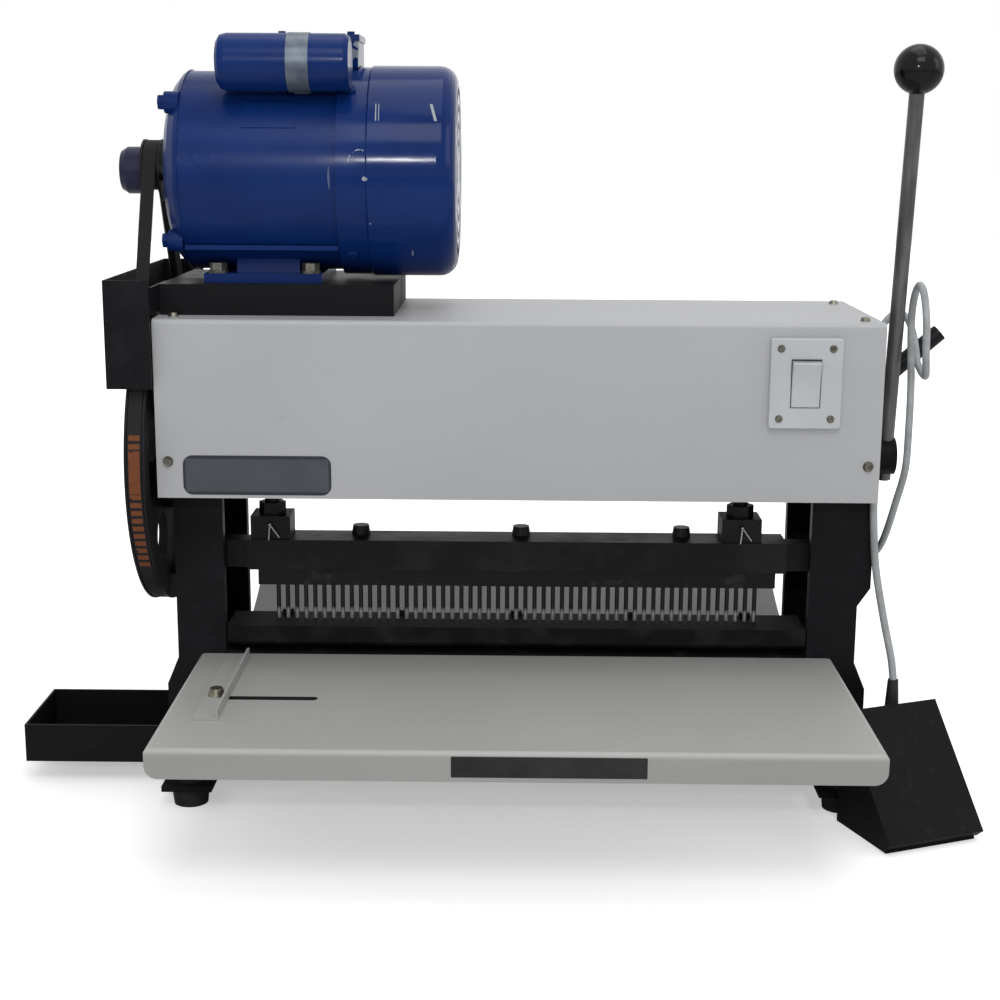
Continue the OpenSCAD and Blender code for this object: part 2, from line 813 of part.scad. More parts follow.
// Terminal box on top of the motor, shaped to its round body
module terminal_box() {
    color("#1c3c8c") difference() {
        block([box_left, box_front, motor_z + 50], [box_right, box_back, box_top]);
        block([box_left + 3, box_front + 3, motor_z + motor_r + 4],
            [box_right - 3, box_back - 3, box_top + 1]);
        bar_x(box_left - 1, box_right + 1, motor_y, motor_z, 2 * motor_r + 2 * fit);
        bar_x(motor_seam, box_right + 1, motor_y, motor_z, 2 * cowl_r + 2 * fit);
    }
}

// Lid of the terminal box with its four screws' heads
module terminal_lid() {
    color("#1c3c8c") union() {
        block([box_left - 1, box_front - 1, box_top], [box_right + 1, box_back + 1, box_top + lid_t]);
        for (x = [box_left + 5, box_right - 5], y = [box_front + 5, box_back - 5])
            translate([x, y, box_top + lid_t]) cylinder(d = 5, h = 2);
    }
}

// Belt drive

pulley_left = belt_x - pulley_w / 2;
pulley_right = belt_x + pulley_w / 2;
nut_left = pulley_left - 15;

// Points of a rim with a V groove for the belt, from its left face to its right face
function grooved_rim(r_pitch, half_w) = let(
        r_out = r_pitch + belt_t / 2 + 0.5, r_in = r_pitch - belt_t / 2 - 1,
        top = belt_w / 2 + gap + belt_slope * 0.5, low = belt_w / 2 + gap - belt_slope * (belt_t + 1))
    [[r_out, belt_x - half_w], [r_out, belt_x - top], [r_in, belt_x - low],
        [r_in, belt_x + low], [r_out, belt_x + top], [r_out, belt_x + half_w]];

// Rotor shaft of the motor, from the pulley's nut to the fan
module motor_shaft() {
    color("#9b9da0") bar_x(nut_left + 2, motor_seam + 50, motor_y, motor_z, motor_shaft_d);
}

module motor_pulley() {
    color("#18181a") turned(motor_y, motor_z, concat([[motor_shaft_d / 2 + run, pulley_left]],
        grooved_rim(pulley_r, pulley_w / 2), [[motor_shaft_d / 2 + run, pulley_right]]));
}

// Round nut with a chamfer on the motor shaft's end
module pulley_nut() {
    color("#15193f") turned(motor_y, motor_z, [[motor_shaft_d / 2 + run, pulley_left],
        [15.5, pulley_left], [15.5, nut_left + 4], [13, nut_left], [motor_shaft_d / 2 + run, nut_left]]);
}

fan_x = motor_seam + 30;
fan_r = 56;
blade_count = 8;

// Fan on the motor shaft, under the cowl
module cooling_fan() {
    color("#202022") difference() {
        union() {
            turned(motor_y, motor_z, [[0, fan_x], [fan_r, fan_x], [fan_r, fan_x + 3], [17, fan_x + 3],
                [17, fan_x + 18], [0, fan_x + 18]]);
            for (k = [0 : blade_count - 1])
                translate([fan_x + 1, motor_y, motor_z]) rotate([k * 360 / blade_count + 10, 0, 0])
                    translate([0, -1.5, 12]) cube([16, 3, fan_r - 14]);
        }
        bar_x(fan_x - 1, fan_x + 20, motor_y, motor_z, motor_shaft_d + 2 * run);
    }
}

// Section of the belt: radius from the pulley's axis, and place along X, taken in by a little where asked
module belt_section(r, taken = 0) {
    wide = belt_w / 2 - taken;
    low = wide - belt_slope * belt_t;
    half = belt_t / 2 - taken;
    polygon([[r - half, -low], [r + half, -wide], [r + half, wide], [r - half, low]]);
}

strand_taken = 0.05;
strand_lap = 0.5;

// V belt: two wraps and two straight strands along the common tangents
module v_belt() {
    strand = sqrt(pow(drive_len, 2) - pow(belt_pitch_r - pulley_r, 2));
    color("#1a1a1b") yz(belt_x) translate([shaft_y, shaft_z, 0]) rotate(drive_tilt) union() {
        rotate(wrap_half) rotate_extrude(angle = 360 - 2 * wrap_half, $fn = 96) belt_section(belt_pitch_r);
        translate([drive_len, 0, 0]) rotate(-wrap_half)
            rotate_extrude(angle = 2 * wrap_half, $fn = 96) belt_section(pulley_r);
        for (side = [0, 1]) mirror([0, side, 0]) rotate(wrap_half) translate([0, strand_lap, 0])
            rotate([90, 0, 0]) linear_extrude(strand + 2 * strand_lap) belt_section(belt_pitch_r, strand_taken);
    }
}

hub_left = belt_x - 13;
hub_right = belt_x + 9;
hub_r = 40;
bush_r = 18;
disc_t = 6;
rim_in = flywheel_r - 16;
hole_count = 5;

// Flywheel that is also the large pulley, lightened by round holes
module flywheel() {
    color("#1a1a1c") difference() {
        turned(shaft_y, shaft_z, concat(
            [[bush_r, hub_left], [hub_r, hub_left], [hub_r, belt_x - disc_t / 2],
                [rim_in, belt_x - disc_t / 2], [rim_in, belt_x - flywheel_w / 2]],
            grooved_rim(belt_pitch_r, flywheel_w / 2),
            [[rim_in, belt_x + flywheel_w / 2], [rim_in, belt_x + disc_t / 2],
                [hub_r, belt_x + disc_t / 2], [hub_r, hub_right], [bush_r, hub_right]]));
        for (k = [0 : hole_count - 1])
            translate([0, shaft_y, shaft_z]) rotate([k * 360 / hole_count, 0, 0])
                translate([0, 0, (hub_r + rim_in) / 2])
                    bar_x(belt_x - disc_t, belt_x + disc_t, 0, 0, 32);
    }
}

// Bush that lets the flywheel turn on the crank shaft
module flywheel_bush() {
    color("#a9824a") turned(shaft_y, shaft_z, [[shaft_d / 2 + run, hub_left], [bush_r - run, hub_left],
        [bush_r - run, hub_right], [shaft_d / 2 + run, hub_right]]);
}

clutch_ring = 29;

// Heads of the clutch bolts on the flywheel's hub
module clutch_bolts() {
    color("#6f7073") for (k = [0 : 2])
        translate([hub_left, shaft_y, shaft_z]) rotate([k * 120 + 120, 0, 0]) translate([0, 0, clutch_ring])
            rotate([0, -90, 0]) cylinder(d = 13 / cos(30), h = 6, $fn = 6);
}

crank_disc_r = 21;
crank_disc_t = 8;
crank_gap = 0.5;
shaft_left = hub_left - 8;
collar_r = 17;
shaft_right = lever_x - lever_d / 2 - 1;
shaft_end_d = 18;
shaft_step = frame_x + 1;

// Crank shaft: a bar broken at the yokes by a pair of discs and a crank pin
module crank_shaft() {
    disc_in = yoke_w / 2 + crank_gap;
    disc_out = disc_in + crank_disc_t;
    color("#55575b") union() {
        bar_x(shaft_left, yoke_xs[0] - disc_in, shaft_y, shaft_z, shaft_d);
        bar_x(yoke_xs[0] + disc_in, yoke_xs[1] - disc_in, shaft_y, shaft_z, shaft_d);
        bar_x(yoke_xs[1] + disc_in, shaft_step, shaft_y, shaft_z, shaft_d);
        bar_x(shaft_step - 1, shaft_right, shaft_y, shaft_z, shaft_end_d);
        bar_x(shaft_left, hub_left - gap, shaft_y, shaft_z, 2 * collar_r);
        for (x = yoke_xs) {
            for (start = [x - disc_out, x + disc_in])
                bar_x(start, start + crank_disc_t, shaft_y, shaft_z, 2 * crank_disc_r);
            bar_x(x - disc_out, x + disc_out, pin_rest_y, pin_rest_z, crank_pin_d);
        }
    }
}

lever_hub_r = 13;
lever_hub_left = cover_side + 4;
lever_hub_right = lever_x + lever_d / 2 + 0.7;
rod_low = lever_hub_r + 4;

// Puts a piece drawn along +Z from the shaft's axis onto the leaning lever
module on_lever() {
    translate([lever_x, shaft_y, shaft_z]) rotate([lever_lean, 0, 0]) children();
}

// Boss on the shaft's end that the hand lever passes through
module lever_hub() {
    color("#1f1f22") difference() {
        bar_x(lever_hub_left, lever_hub_right, shaft_y, shaft_z, 2 * lever_hub_r);
        bar_x(lever_hub_left - 1, shaft_right + fit, shaft_y, shaft_z, shaft_end_d + 2 * run);
        on_lever() translate([0, 0, -lever_hub_r - 1]) cylinder(d = lever_d + 2 * run, h = 2 * lever_hub_r + 2);
    }
}

ball_seat = 12;

module lever_rod() {
    color("#4a4a4d") on_lever() translate([0, 0, -rod_low])
        cylinder(d = lever_d, h = lever_len - ball_d / 2 + ball_seat + rod_low);
}

// Ball knob with a flat where the rod enters
module ball_knob() {
    color("#0f0f11") on_lever() translate([0, 0, lever_len]) difference() {
        sphere(d = ball_d, $fn = 96);
        translate([0, 0, -ball_d]) cylinder(d = ball_d, h = ball_d / 2 + 1);
        translate([0, 0, -ball_d]) cylinder(d = lever_d + 2 * run, h = ball_d / 2 + ball_seat);
    }
}

// Punch beam and what drives it

lug_w = 27;
lug_d_y = 26;
lug_top = beam_top + 16;
beam_bolt_xs = [-108, 3, 114];
beam_bolt_d = 6;
beam_bolt_y = 8;
beam_bolt_in = 8;

// Beam with a tongue at each end and a lug under each yoke
module punch_beam() {
    color("#1c1b1f") difference() {
        union() {
            block([-beam_half, -beam_d / 2, beam_top - beam_h], [beam_half, beam_d / 2, beam_top]);
            block([-tongue_end, -tongue_d / 2, beam_top - beam_h],
                [tongue_end, tongue_d / 2, beam_top - beam_h + tongue_h]);
            for (x = yoke_xs)
                block([x - lug_w / 2, -lug_d_y / 2, beam_top - 1], [x + lug_w / 2, lug_d_y / 2, lug_top]);
        }
        for (x = beam_bolt_xs)
            translate([x, beam_bolt_y, beam_top - beam_h - 1])
                cylinder(d = beam_bolt_d + 2 * fit, h = beam_h + 2);
        for (x = yoke_xs) {
            translate([x, 0, lug_top - 11]) cylinder(d = stud_d + 2 * fit, h = 12);
            translate([x, -lug_d_y / 2 - 1, lug_top - 5]) rotate([-90, 0, 0])
                cylinder(d = split_d + 2 * fit, h = 9, $fn = 24);
        }
    }
}

pin_seat = 0.03;

// Plate under the beam that holds the pins
module pin_plate() {
    color("#232327") difference() {
        block([-plate_half, -plate_d / 2, plate_z], [plate_half, plate_d / 2, plate_z + plate_h]);
        for (i = [0 : pin_count - 1])
            translate([pin_x0 + i * pin_pitch, 0, plate_z - 1])
                cylinder(d = pin_d + 2 * pin_seat, h = plate_h + 2, $fn = 24);
        for (x = beam_bolt_xs)
            translate([x, beam_bolt_y, plate_z + 1]) cylinder(d = beam_bolt_d + 2 * fit, h = plate_h);
    }
}

module punch_pins() {
    color("#a7a8ab") for (i = [0 : pin_count - 1])
        translate([pin_x0 + i * pin_pitch, 0, pin_tip])
            cylinder(d = pin_d, h = plate_z + plate_h - pin_tip, $fn = 24);
}

// Round-headed bolts on top of the beam
module beam_bolts() {
    color("#19191b") for (x = beam_bolt_xs) translate([x, beam_bolt_y, 0]) {
        translate([0, 0, beam_top - beam_h - beam_bolt_in])
            cylinder(d = beam_bolt_d, h = beam_h + beam_bolt_in + 1);
        translate([0, 0, beam_top]) cylinder(d1 = 13, d2 = 11, h = 6);
    }
}

yoke_front = -8;
yoke_back = 31;
yoke_wall = 7.5;
yoke_low = pin_rest_z - crank_pin_d / 2 - slot_play - yoke_wall;

// Blocks with a level slot in which the crank pins slide
module crank_yokes() {
    slot_h = crank_pin_d + 2 * slot_play;
    front = shaft_y - crank_throw - crank_pin_d / 2 - 1;
    back = pin_rest_y + crank_pin_d / 2 + 1;
    color("#3a3b3f") for (x = yoke_xs) difference() {
        block([x - yoke_w / 2, yoke_front, yoke_low],
            [x + yoke_w / 2, yoke_back, pin_rest_z + slot_h / 2 + yoke_wall]);
        block([x - yoke_w, front, pin_rest_z - slot_h / 2], [x + yoke_w, back, pin_rest_z + slot_h / 2]);
        translate([x, 0, yoke_low - 1]) cylinder(d = stud_d + 2 * fit, h = yoke_wall);
    }
}

// Threaded studs between the beam's lugs and the yokes
module yoke_studs() {
    color("#2a2a2d") for (x = yoke_xs)
        translate([x, 0, lug_top - 10]) cylinder(d = stud_d, h = yoke_low + yoke_wall - 2 - lug_top + 10);
}

module stud_nuts() {
    color("#232325") for (x = yoke_xs) difference() {
        hex_z(x, 0, lug_top, 16, nut_h);
        translate([x, 0, lug_top - 1]) cylinder(d = stud_d + 2 * fit, h = nut_h + 2);
    }
}

split_d = 2;

// Split pins that lock the studs, with their legs bent apart
module split_pins() {
    color("#b9babd") for (x = yoke_xs) translate([x, -lug_d_y / 2, lug_top - 5]) union() {
        translate([0, 7, 0]) rotate([90, 0, 0]) cylinder(d = split_d, h = 10, $fn = 24);
        for (lean = [-35, 5]) translate([0, -3, 0]) rotate([0, lean + 180, 0])
            cylinder(d = 1.2, h = 11, $fn = 16);
        translate([0, -3, 0]) sphere(d = 2.6, $fn = 24);
    }
}

// Peg and foot switch

peg_d = 12;
peg_y = 31;
peg_z = 280;
peg_bend_x = cover_side + 13.5;
peg_rise = 41.5;
peg_arm = 57;

// Bent bar in the right-hand frame: a stop behind the lever, which the cord hangs on
module cord_peg() {
    color("#3c3c3f") union() {
        bar_x(web_in, peg_bend_x, peg_y, peg_z, peg_d - 2 * fit);
        translate([peg_bend_x, peg_y, peg_z]) {
            sphere(d = peg_d + 0.6);
            rotate([0, 90 - peg_rise, 0]) cylinder(d = peg_d - 2 * fit, h = peg_arm);
        }
    }
}

gland_y = 62;
gland_z = 150;
gland_thread_d = 12;
gland_across = 17;

// Route of the cord from the cover's side: up from the foot switch, behind the lever, round the peg in a
// loop and down to the gland
cord_route = [[22, -38, 90], [20, -37, 105], [14.7, -33, 130], [8.3, -28.5, 165], [5.5, -28, 195],
    [4.3, -28, 216], [3.7, -22, 236], [3.7, -8, 258], [4.8, 8, 280], [8, 24, 300], [14.5, 34, 315],
    [21.5, 39, 325], [28.5, 40, 329.5], [34.5, 37, 327], [37.5, 30, 318.5], [38, 20.5, 308],
    [37.5, 12, 300], [38.5, 4, 294.5], [39.5, -4, 292], [38.5, -11, 295.5], [36.8, -15, 308],
    [36, -14.5, 330], [35, -9, 346], [34, 0, 352.5], [33, 8.5, 346.5], [32.2, 12, 331], [32, 8, 309],
    [32, 2, 285], [31.5, -1, 255], [30.5, -2, 228], [26, 2, 203], [23.5, 12, 182], [22.5, 25, 168],
    [21.5, 38, 159.5], [20, 49, 154], [16.5, 57, 151], [13, 61, 150], [9.5, 62, 150]];
cord_points = [for (p = cord_route) p + [cover_side, 0, 0]];
cord_steps = 2;
cord_sides = 8;

// A point on the smooth curve through four points of the route
function smooth(a, b, c, d, t) = 0.5 * (2 * b + (c - a) * t + (2 * a - 5 * b + 4 * c - d) * pow(t, 2)
    + (3 * b - a - 3 * c + d) * pow(t, 3));
function unit(v) = v / norm(v);
cord_last = len(cord_points) - 1;
cord_path = concat(
    [for (i = [0 : cord_last - 1], k = [0 : cord_steps - 1])
        smooth(cord_points[max(i - 1, 0)], cord_points[i], cord_points[i + 1],
            cord_points[min(i + 2, cord_last)], k / cord_steps)],
    [cord_points[cord_last]]);
path_last = len(cord_path) - 1;
cord_tangents = [for (i = [0 : path_last])
    unit(cord_path[min(i + 1, path_last)] - cord_path[max(i - 1, 0)])];
// One sideways direction for each ring, carried along so that the tube doesn't twist
cord_sideways = [for (i = 0, v = unit(cross(cord_tangents[0], [0, 1, 0])); i <= path_last;
    i = i + 1, v = i > path_last ? v : unit(v - (v * cord_tangents[i]) * cord_tangents[i])) v];

// Cord of the foot switch: one tube along its route
module foot_cord() {
    rings = [for (i = [0 : path_last], k = [0 : cord_sides - 1])
        let(a = 360 * k / cord_sides, up = cross(cord_tangents[i], cord_sideways[i]))
            cord_path[i] + cord_d / 2 * (cos(a) * cord_sideways[i] + sin(a) * up)];
    walls = [for (i = [0 : path_last - 1], k = [0 : cord_sides - 1])
        let(a = i * cord_sides + k, b = i * cord_sides + (k + 1) % cord_sides)
            each [[a, a + cord_sides, b], [b, a + cord_sides, b + cord_sides]]];
    start = [for (k = [1 : cord_sides - 2]) [0, k, k + 1]];
    end = [for (k = [1 : cord_sides - 2]) let(e = path_last * cord_sides) [e, e + k + 1, e + k]];
    color("#7f8589") polyhedron(rings, concat(walls, start, end));
}

// Cable gland in the frame's web, where the cord goes in
module cord_gland() {
    face = cord_points[cord_last][0];
    color("#1a1a1c") union() {
        bar_x(web_in, frame_x + 1, gland_y, gland_z, gland_thread_d - 2 * fit);
        translate([frame_x, gland_y, gland_z]) rotate([0, 90, 0])
            cylinder(d = gland_across / cos(30), h = 6, $fn = 6);
        turned(gland_y, gland_z, [[0, frame_x + 5], [7, frame_x + 5], [7, frame_x + 9],
            [cord_d / 2 + 1, face], [0, face]]);
    }
}

pedal_at = [cover_side + 37.5, -112];
hinge_y = 5;
hinge_z = 8;
hinge_d = 4;
switch_len = 62;
switch_top = 56;
skirt_t = 1.5;
treadle_lift = 2.5;
boot_seat_z = 42;
boot_d = 13;

// Puts a piece drawn from the middle of the foot switch's front edge onto the floor
module on_floor() {
    translate([pedal_at[0], pedal_at[1], 0]) rotate(pedal_yaw) children();
}

// Wedge-shaped housing of the foot switch, with the treadle's hinge pin across its front
module foot_switch_base() {
    half = pedal_w / 2 - skirt_t - gap - 0.2;
    color("#19191b") on_floor() union() {
        yz(-half) linear_extrude(2 * half) polygon([
            [hinge_y - 0.8, 0], [switch_len, 0], [switch_len, switch_top], [switch_len - 4, switch_top],
            [hinge_y + 4, 8], [hinge_y + 3, hinge_z + 1], [hinge_y - 0.8, hinge_z + 1]]);
        bar_x(-pedal_w / 2, pedal_w / 2, hinge_y, hinge_z, hinge_d);
    }
}

// Treadle: a sloping plate with a front lip and side skirts, turning on the hinge pin
module foot_treadle() {
    tail = pedal_len - hinge_y;
    color("#1c1b1e") on_floor() translate([0, hinge_y, hinge_z]) difference() {
        rotate([pedal_slope, 0, 0]) union() {
            block([-pedal_w / 2, -hinge_y, treadle_lift], [pedal_w / 2, tail, treadle_lift + pedal_t]);
            block([-pedal_w / 2, -hinge_y, -1], [pedal_w / 2, -hinge_y + skirt_t, treadle_lift + pedal_t]);
            for (x = [-pedal_w / 2, pedal_w / 2 - skirt_t])
                yz(x) linear_extrude(skirt_t) polygon([[-hinge_y, treadle_lift + 1], [-hinge_y, -3],
                    [hinge_d, -3.5], [tail, -9], [tail, treadle_lift + 1]]);
        }
        bar_x(-pedal_w, pedal_w, 0, 0, hinge_d + 2 * run);
    }
}

boot_reach = (cord_points[0][0] - pedal_at[0]) * -sin(pedal_yaw)
    + (cord_points[0][1] - pedal_at[1]) * cos(pedal_yaw) - switch_len;

// Strain relief of the cord: an elbow from the housing's back, tapering upwards
module cord_boot() {
    rise = cord_points[0][2] - boot_seat_z;
    color("#141416") translate([cord_points[0][0], cord_points[0][1], boot_seat_z]) union() {
        cylinder(d1 = boot_d, d2 = cord_d + 2, h = rise);
        translate([0, 0, -boot_d]) cylinder(d = boot_d, h = boot_d);
        translate([0, 0, -boot_d / 2]) rotate([0, 0, pedal_yaw]) rotate([90, 0, 0])
            cylinder(d = boot_d - 3, h = boot_reach);
    }
}

base_plate();
rubber_feet();
left_side_frame();
right_side_frame();
motor_rails();
die_plate();
paper_stop();
pin_guide();
die_bolts();
table_brackets();
table();
left_beam_guide();
right_beam_guide();
left_bearing();
right_bearing();
top_cover();
cover_screws();
switch_plate();
rocker_switch();
switch_screws();
waste_chute();
motor_base();
belt_guard();
motor_housing();
motor_end_bell();
fan_cowl();
motor_bolts();
capacitor();
capacitor_band();
terminal_box();
terminal_lid();
motor_shaft();
motor_pulley();
pulley_nut();
cooling_fan();
v_belt();
flywheel();
flywheel_bush();
clutch_bolts();
crank_shaft();
lever_hub();
lever_rod();
ball_knob();
punch_beam();
pin_plate();
punch_pins();
beam_bolts();
crank_yokes();
yoke_studs();
stud_nuts();
split_pins();
side_gauge();
gauge_screw();
chip_drawer();
cord_peg();
cord_gland();
foot_cord();
cord_boot();
foot_switch_base();
foot_treadle();
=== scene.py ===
from math import cos, radians, sin

import bmesh
import bpy
from mathutils import Matrix, Vector


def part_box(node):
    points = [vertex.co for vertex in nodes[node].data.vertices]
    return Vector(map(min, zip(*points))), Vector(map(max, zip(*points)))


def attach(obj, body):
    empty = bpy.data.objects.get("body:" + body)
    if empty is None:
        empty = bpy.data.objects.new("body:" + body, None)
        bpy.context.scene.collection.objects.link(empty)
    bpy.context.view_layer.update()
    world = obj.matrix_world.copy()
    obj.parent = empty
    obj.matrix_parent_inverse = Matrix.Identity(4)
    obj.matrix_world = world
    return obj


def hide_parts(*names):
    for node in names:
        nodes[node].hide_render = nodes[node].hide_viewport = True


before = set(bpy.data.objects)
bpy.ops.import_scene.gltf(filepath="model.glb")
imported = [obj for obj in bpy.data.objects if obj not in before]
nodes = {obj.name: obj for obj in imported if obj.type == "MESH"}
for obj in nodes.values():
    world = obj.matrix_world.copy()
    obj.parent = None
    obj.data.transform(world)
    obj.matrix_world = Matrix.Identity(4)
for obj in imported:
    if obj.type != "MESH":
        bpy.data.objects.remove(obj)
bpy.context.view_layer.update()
scene = bpy.context.scene
scene.view_settings.view_transform = "Standard"

# Camera: a normal lens a little over a metre in front of the machine, looking slightly down on the paper
# table. Its place and tilt were fitted to the row of pins, the cover and the table.
camera_data = bpy.data.cameras.new("camera")
camera_data.sensor_width = 36
camera_data.lens = 60.82
camera_data.clip_start = 0.05
camera = bpy.data.objects.new("camera", camera_data)
camera_place = (-0.00204, -1.13282, 0.44962)
camera_turn, camera_dip, camera_roll = 0.489, 12.244, 0.349
camera.matrix_world = (Matrix.Translation(camera_place)
                       @ Matrix.Rotation(radians(camera_turn), 4, "Z")
                       @ Matrix.Rotation(radians(90 - camera_dip), 4, "X")
                       @ Matrix.Rotation(radians(camera_roll), 4, "Z"))
scene.collection.objects.link(camera)
scene.camera = camera


class Wire:
    """A value among a graph's nodes: sums, products and comparisons of wires add the Math nodes they need."""

    def __init__(self, graph, socket):
        self.graph = graph
        self.socket = socket

    def math(self, operation, *values):
        return self.graph.node("ShaderNodeMath", {"operation": operation}, dict(enumerate(values)))

    def __add__(self, other):
        return self.math("ADD", self, other)

    def __radd__(self, other):
        return self.math("ADD", other, self)

    def __sub__(self, other):
        return self.math("SUBTRACT", self, other)

    def __rsub__(self, other):
        return self.math("SUBTRACT", other, self)

    def __mul__(self, other):
        return self.math("MULTIPLY", self, other)

    def __rmul__(self, other):
        return self.math("MULTIPLY", other, self)

    def __gt__(self, other):
        return self.math("GREATER_THAN", self, other)

    def __lt__(self, other):
        return self.math("LESS_THAN", self, other)

    def __or__(self, other):
        return self.math("MAXIMUM", self, other)

    def __abs__(self):
        return self.math("ABSOLUTE", self)


class Graph:
    """The nodes of a material or of the world."""

    def __init__(self, tree):
        self.tree = tree

    def plug(self, value, socket):
        """Links a wire to a socket, or sets the socket to a plain value."""
        if isinstance(value, Wire):
            self.tree.links.new(value.socket, socket)
        else:
            socket.default_value = value

    def node(self, kind, settings=None, inputs=None, out=0):
        made = self.tree.nodes.new(kind)
        for key, value in (settings or {}).items():
            setattr(made, key, value)
        for key, value in (inputs or {}).items():
            self.plug(value, made.inputs[key])
        return Wire(self, made.outputs[out])


class Finish(Graph):
    """A surface finish under construction: one material with one shader."""

    def __init__(self, name):
        self.material = bpy.data.materials.new(name)
        self.material.use_nodes = True
        super().__init__(self.material.node_tree)
        self.shader = self.tree.nodes["Principled BSDF"]
        self.place = self.node("ShaderNodeTexCoord", out="Object")

    def noise(self, scale, detail=3, rough=0.55, stretch=None):
        where = self.place
        if stretch:
            where = self.node("ShaderNodeMapping", inputs={"Vector": self.place, "Scale": stretch})
        settings = {"Vector": where, "Scale": scale, "Detail": detail, "Roughness": rough}
        return self.node("ShaderNodeTexNoise", inputs=settings)

    def ramp(self, value, low, high):
        """Turns a value into a mask that goes from 0 at low to 1 at high."""
        limits = {"Value": value, "From Min": low, "From Max": high}
        return self.node("ShaderNodeMapRange", inputs=limits)

    def mix(self, mask, first, second):
        """A colour between two others."""
        return self.node("ShaderNodeMix", {"data_type": "RGBA"}, {0: mask, 6: first, 7: second}, out=2)

    def bump(self, height, strength, distance):
        relief = {"Height": height, "Strength": strength, "Distance": distance}
        return self.node("ShaderNodeBump", inputs=relief)

    def axes(self):
        parts = self.tree.nodes.new("ShaderNodeSeparateXYZ")
        self.tree.links.new(self.place.socket, parts.inputs[0])
        return [Wire(self, parts.outputs[i]) for i in range(3)]

    def set(self, **sockets):
        """Sets or links the shader's sockets, named in lower case with underscores."""
        names = {s.name.lower().replace(" ", "_"): s for s in self.shader.inputs}
        for key, value in sockets.items():
            self.plug(value, names[key])
        return self.material


def shade(value, factor=1.0):
    """An opaque colour from red, green and blue, made lighter or darker."""
    return tuple(min(1.0, v * factor) for v in value) + (1.0,)


def dress(material, *names):
    """Gives solids a finish."""
    for name in names:
        slots = nodes[name].data.materials
        slots.clear()
        slots.append(material)


def piece(name, shape, material, body="frame"):
    """Turns a finished bmesh into an object that rides on a body."""
    mesh = bpy.data.meshes.new(name)
    shape.to_mesh(mesh)
    shape.free()
    mesh.materials.append(material)
    made = bpy.data.objects.new(name, mesh)
    scene.collection.objects.link(made)
    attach(made, body)
    return made


# Foot-switch cord: a limp grey two-core flex, 5 mm thick. It rises from the strain relief, passes behind the
# hand lever, hangs over the peg in one loop and goes down to the gland in the right-hand frame.
cord_route = [(22, -38, 90), (20, -37, 105), (14.7, -33, 130), (8.3, -28.5, 165), (5.5, -28, 195),
              (4.3, -28, 216), (3.7, -22, 236), (3.7, -8, 258), (4.8, 8, 280), (8, 24, 300), (14.5, 34, 315),
              (21.5, 39, 325), (28.5, 40, 329.5), (34.5, 37, 327), (37.5, 30, 318.5), (38, 20.5, 308),
              (37.5, 12, 300), (38.5, 4, 294.5), (39.5, -4, 292), (38.5, -11, 295.5), (36.8, -15, 308),
              (36, -14.5, 330), (35, -9, 346), (34, 0, 352.5), (33, 8.5, 346.5), (32.2, 12, 331),
              (32, 8, 309), (32, 2, 285), (31.5, -1, 255), (30.5, -2, 228), (26, 2, 203), (23.5, 12, 182),
              (22.5, 25, 168), (21.5, 38, 159.5), (20, 49, 154), (16.5, 57, 151), (13, 61, 150),
              (9.5, 62, 150)]
cover_side = 233.5
cord_points = [(Vector(p) + Vector((cover_side, 0, 0))) / 1000 for p in cord_route]
cord_width = 0.005
cord_way = []
last = len(cord_points) - 1
for i in range(last):
    a, b, c, d = (cord_points[min(max(k, 0), last)] for k in range(i - 1, i + 3))
    for t in (0, 0.2, 0.4, 0.6, 0.8):
        cord_way.append(0.5 * (2 * b + (c - a) * t + (2 * a - 5 * b + 4 * c - d) * t ** 2
                               + (3 * b - a - 3 * c + d) * t ** 3))
cord_way.append(cord_points[-1])
flex_curve = bpy.data.curves.new("foot_flex", "CURVE")
flex_curve.dimensions = "3D"
flex_curve.bevel_depth = cord_width / 2
flex_curve.bevel_resolution = 5
flex_curve.use_fill_caps = True
flex_run = flex_curve.splines.new("POLY")
flex_run.points.add(len(cord_way) - 1)
for point, at in zip(flex_run.points, cord_way):
    point.co = (*at, 1)
flex_run.use_smooth = True
flex = bpy.data.objects.new("foot_flex", flex_curve)
scene.collection.objects.link(flex)
sheath = Finish("grey_sheath")
grubby = sheath.ramp(sheath.noise(55, 4), 0.42, 0.7)
flex_curve.materials.append(sheath.set(
    base_color=sheath.mix(grubby, shade((0.33, 0.35, 0.36)), shade((0.22, 0.23, 0.235))),
    roughness=0.42 + grubby * 0.2, normal=sheath.bump(sheath.noise(900, 2), 0.12, 0.0004)))
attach(flex, "frame")
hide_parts("foot_cord")
flex_length = sum((q - p).length for p, q in zip(cord_way, cord_way[1:]))

# Studio: a pale floor under the machine, a white surround, and broad soft lamps in front, above and at the
# sides, at a level where a paint renders about as it is mixed.
floor_shape = bmesh.new()
bmesh.ops.create_grid(floor_shape, x_segments=1, y_segments=1, size=6)
floor_mesh = bpy.data.meshes.new("floor")
floor_shape.to_mesh(floor_mesh)
floor_shape.free()
floor = bpy.data.objects.new("floor", floor_mesh)
scene.collection.objects.link(floor)
paper = Finish("floor_paper")
away = paper.node("ShaderNodeVectorMath", {"operation": "LENGTH"}, {0: paper.place}, out="Value")
watched = paper.node("ShaderNodeLightPath", out="Is Camera Ray")
near, far = 0.45, 1.6
glow = watched * (0.42 + paper.ramp(away, near, far) * 0.5)
floor_mesh.materials.append(paper.set(
    base_color=shade((0.9, 0.9, 0.9)), roughness=0.9, specular_ior_level=0.0,
    emission_color=paper.mix(glow, shade((0, 0, 0)), shade((1, 1, 1))), emission_strength=1.0))
world = bpy.data.worlds.new("surround")
scene.world = world
world.use_nodes = True
sky = Graph(world.node_tree)
direct = sky.node("ShaderNodeLightPath", out="Is Camera Ray")
clear = sky.node("ShaderNodeLightPath", out="Is Transmission Ray")
mirrored = sky.node("ShaderNodeLightPath", out="Is Glossy Ray")
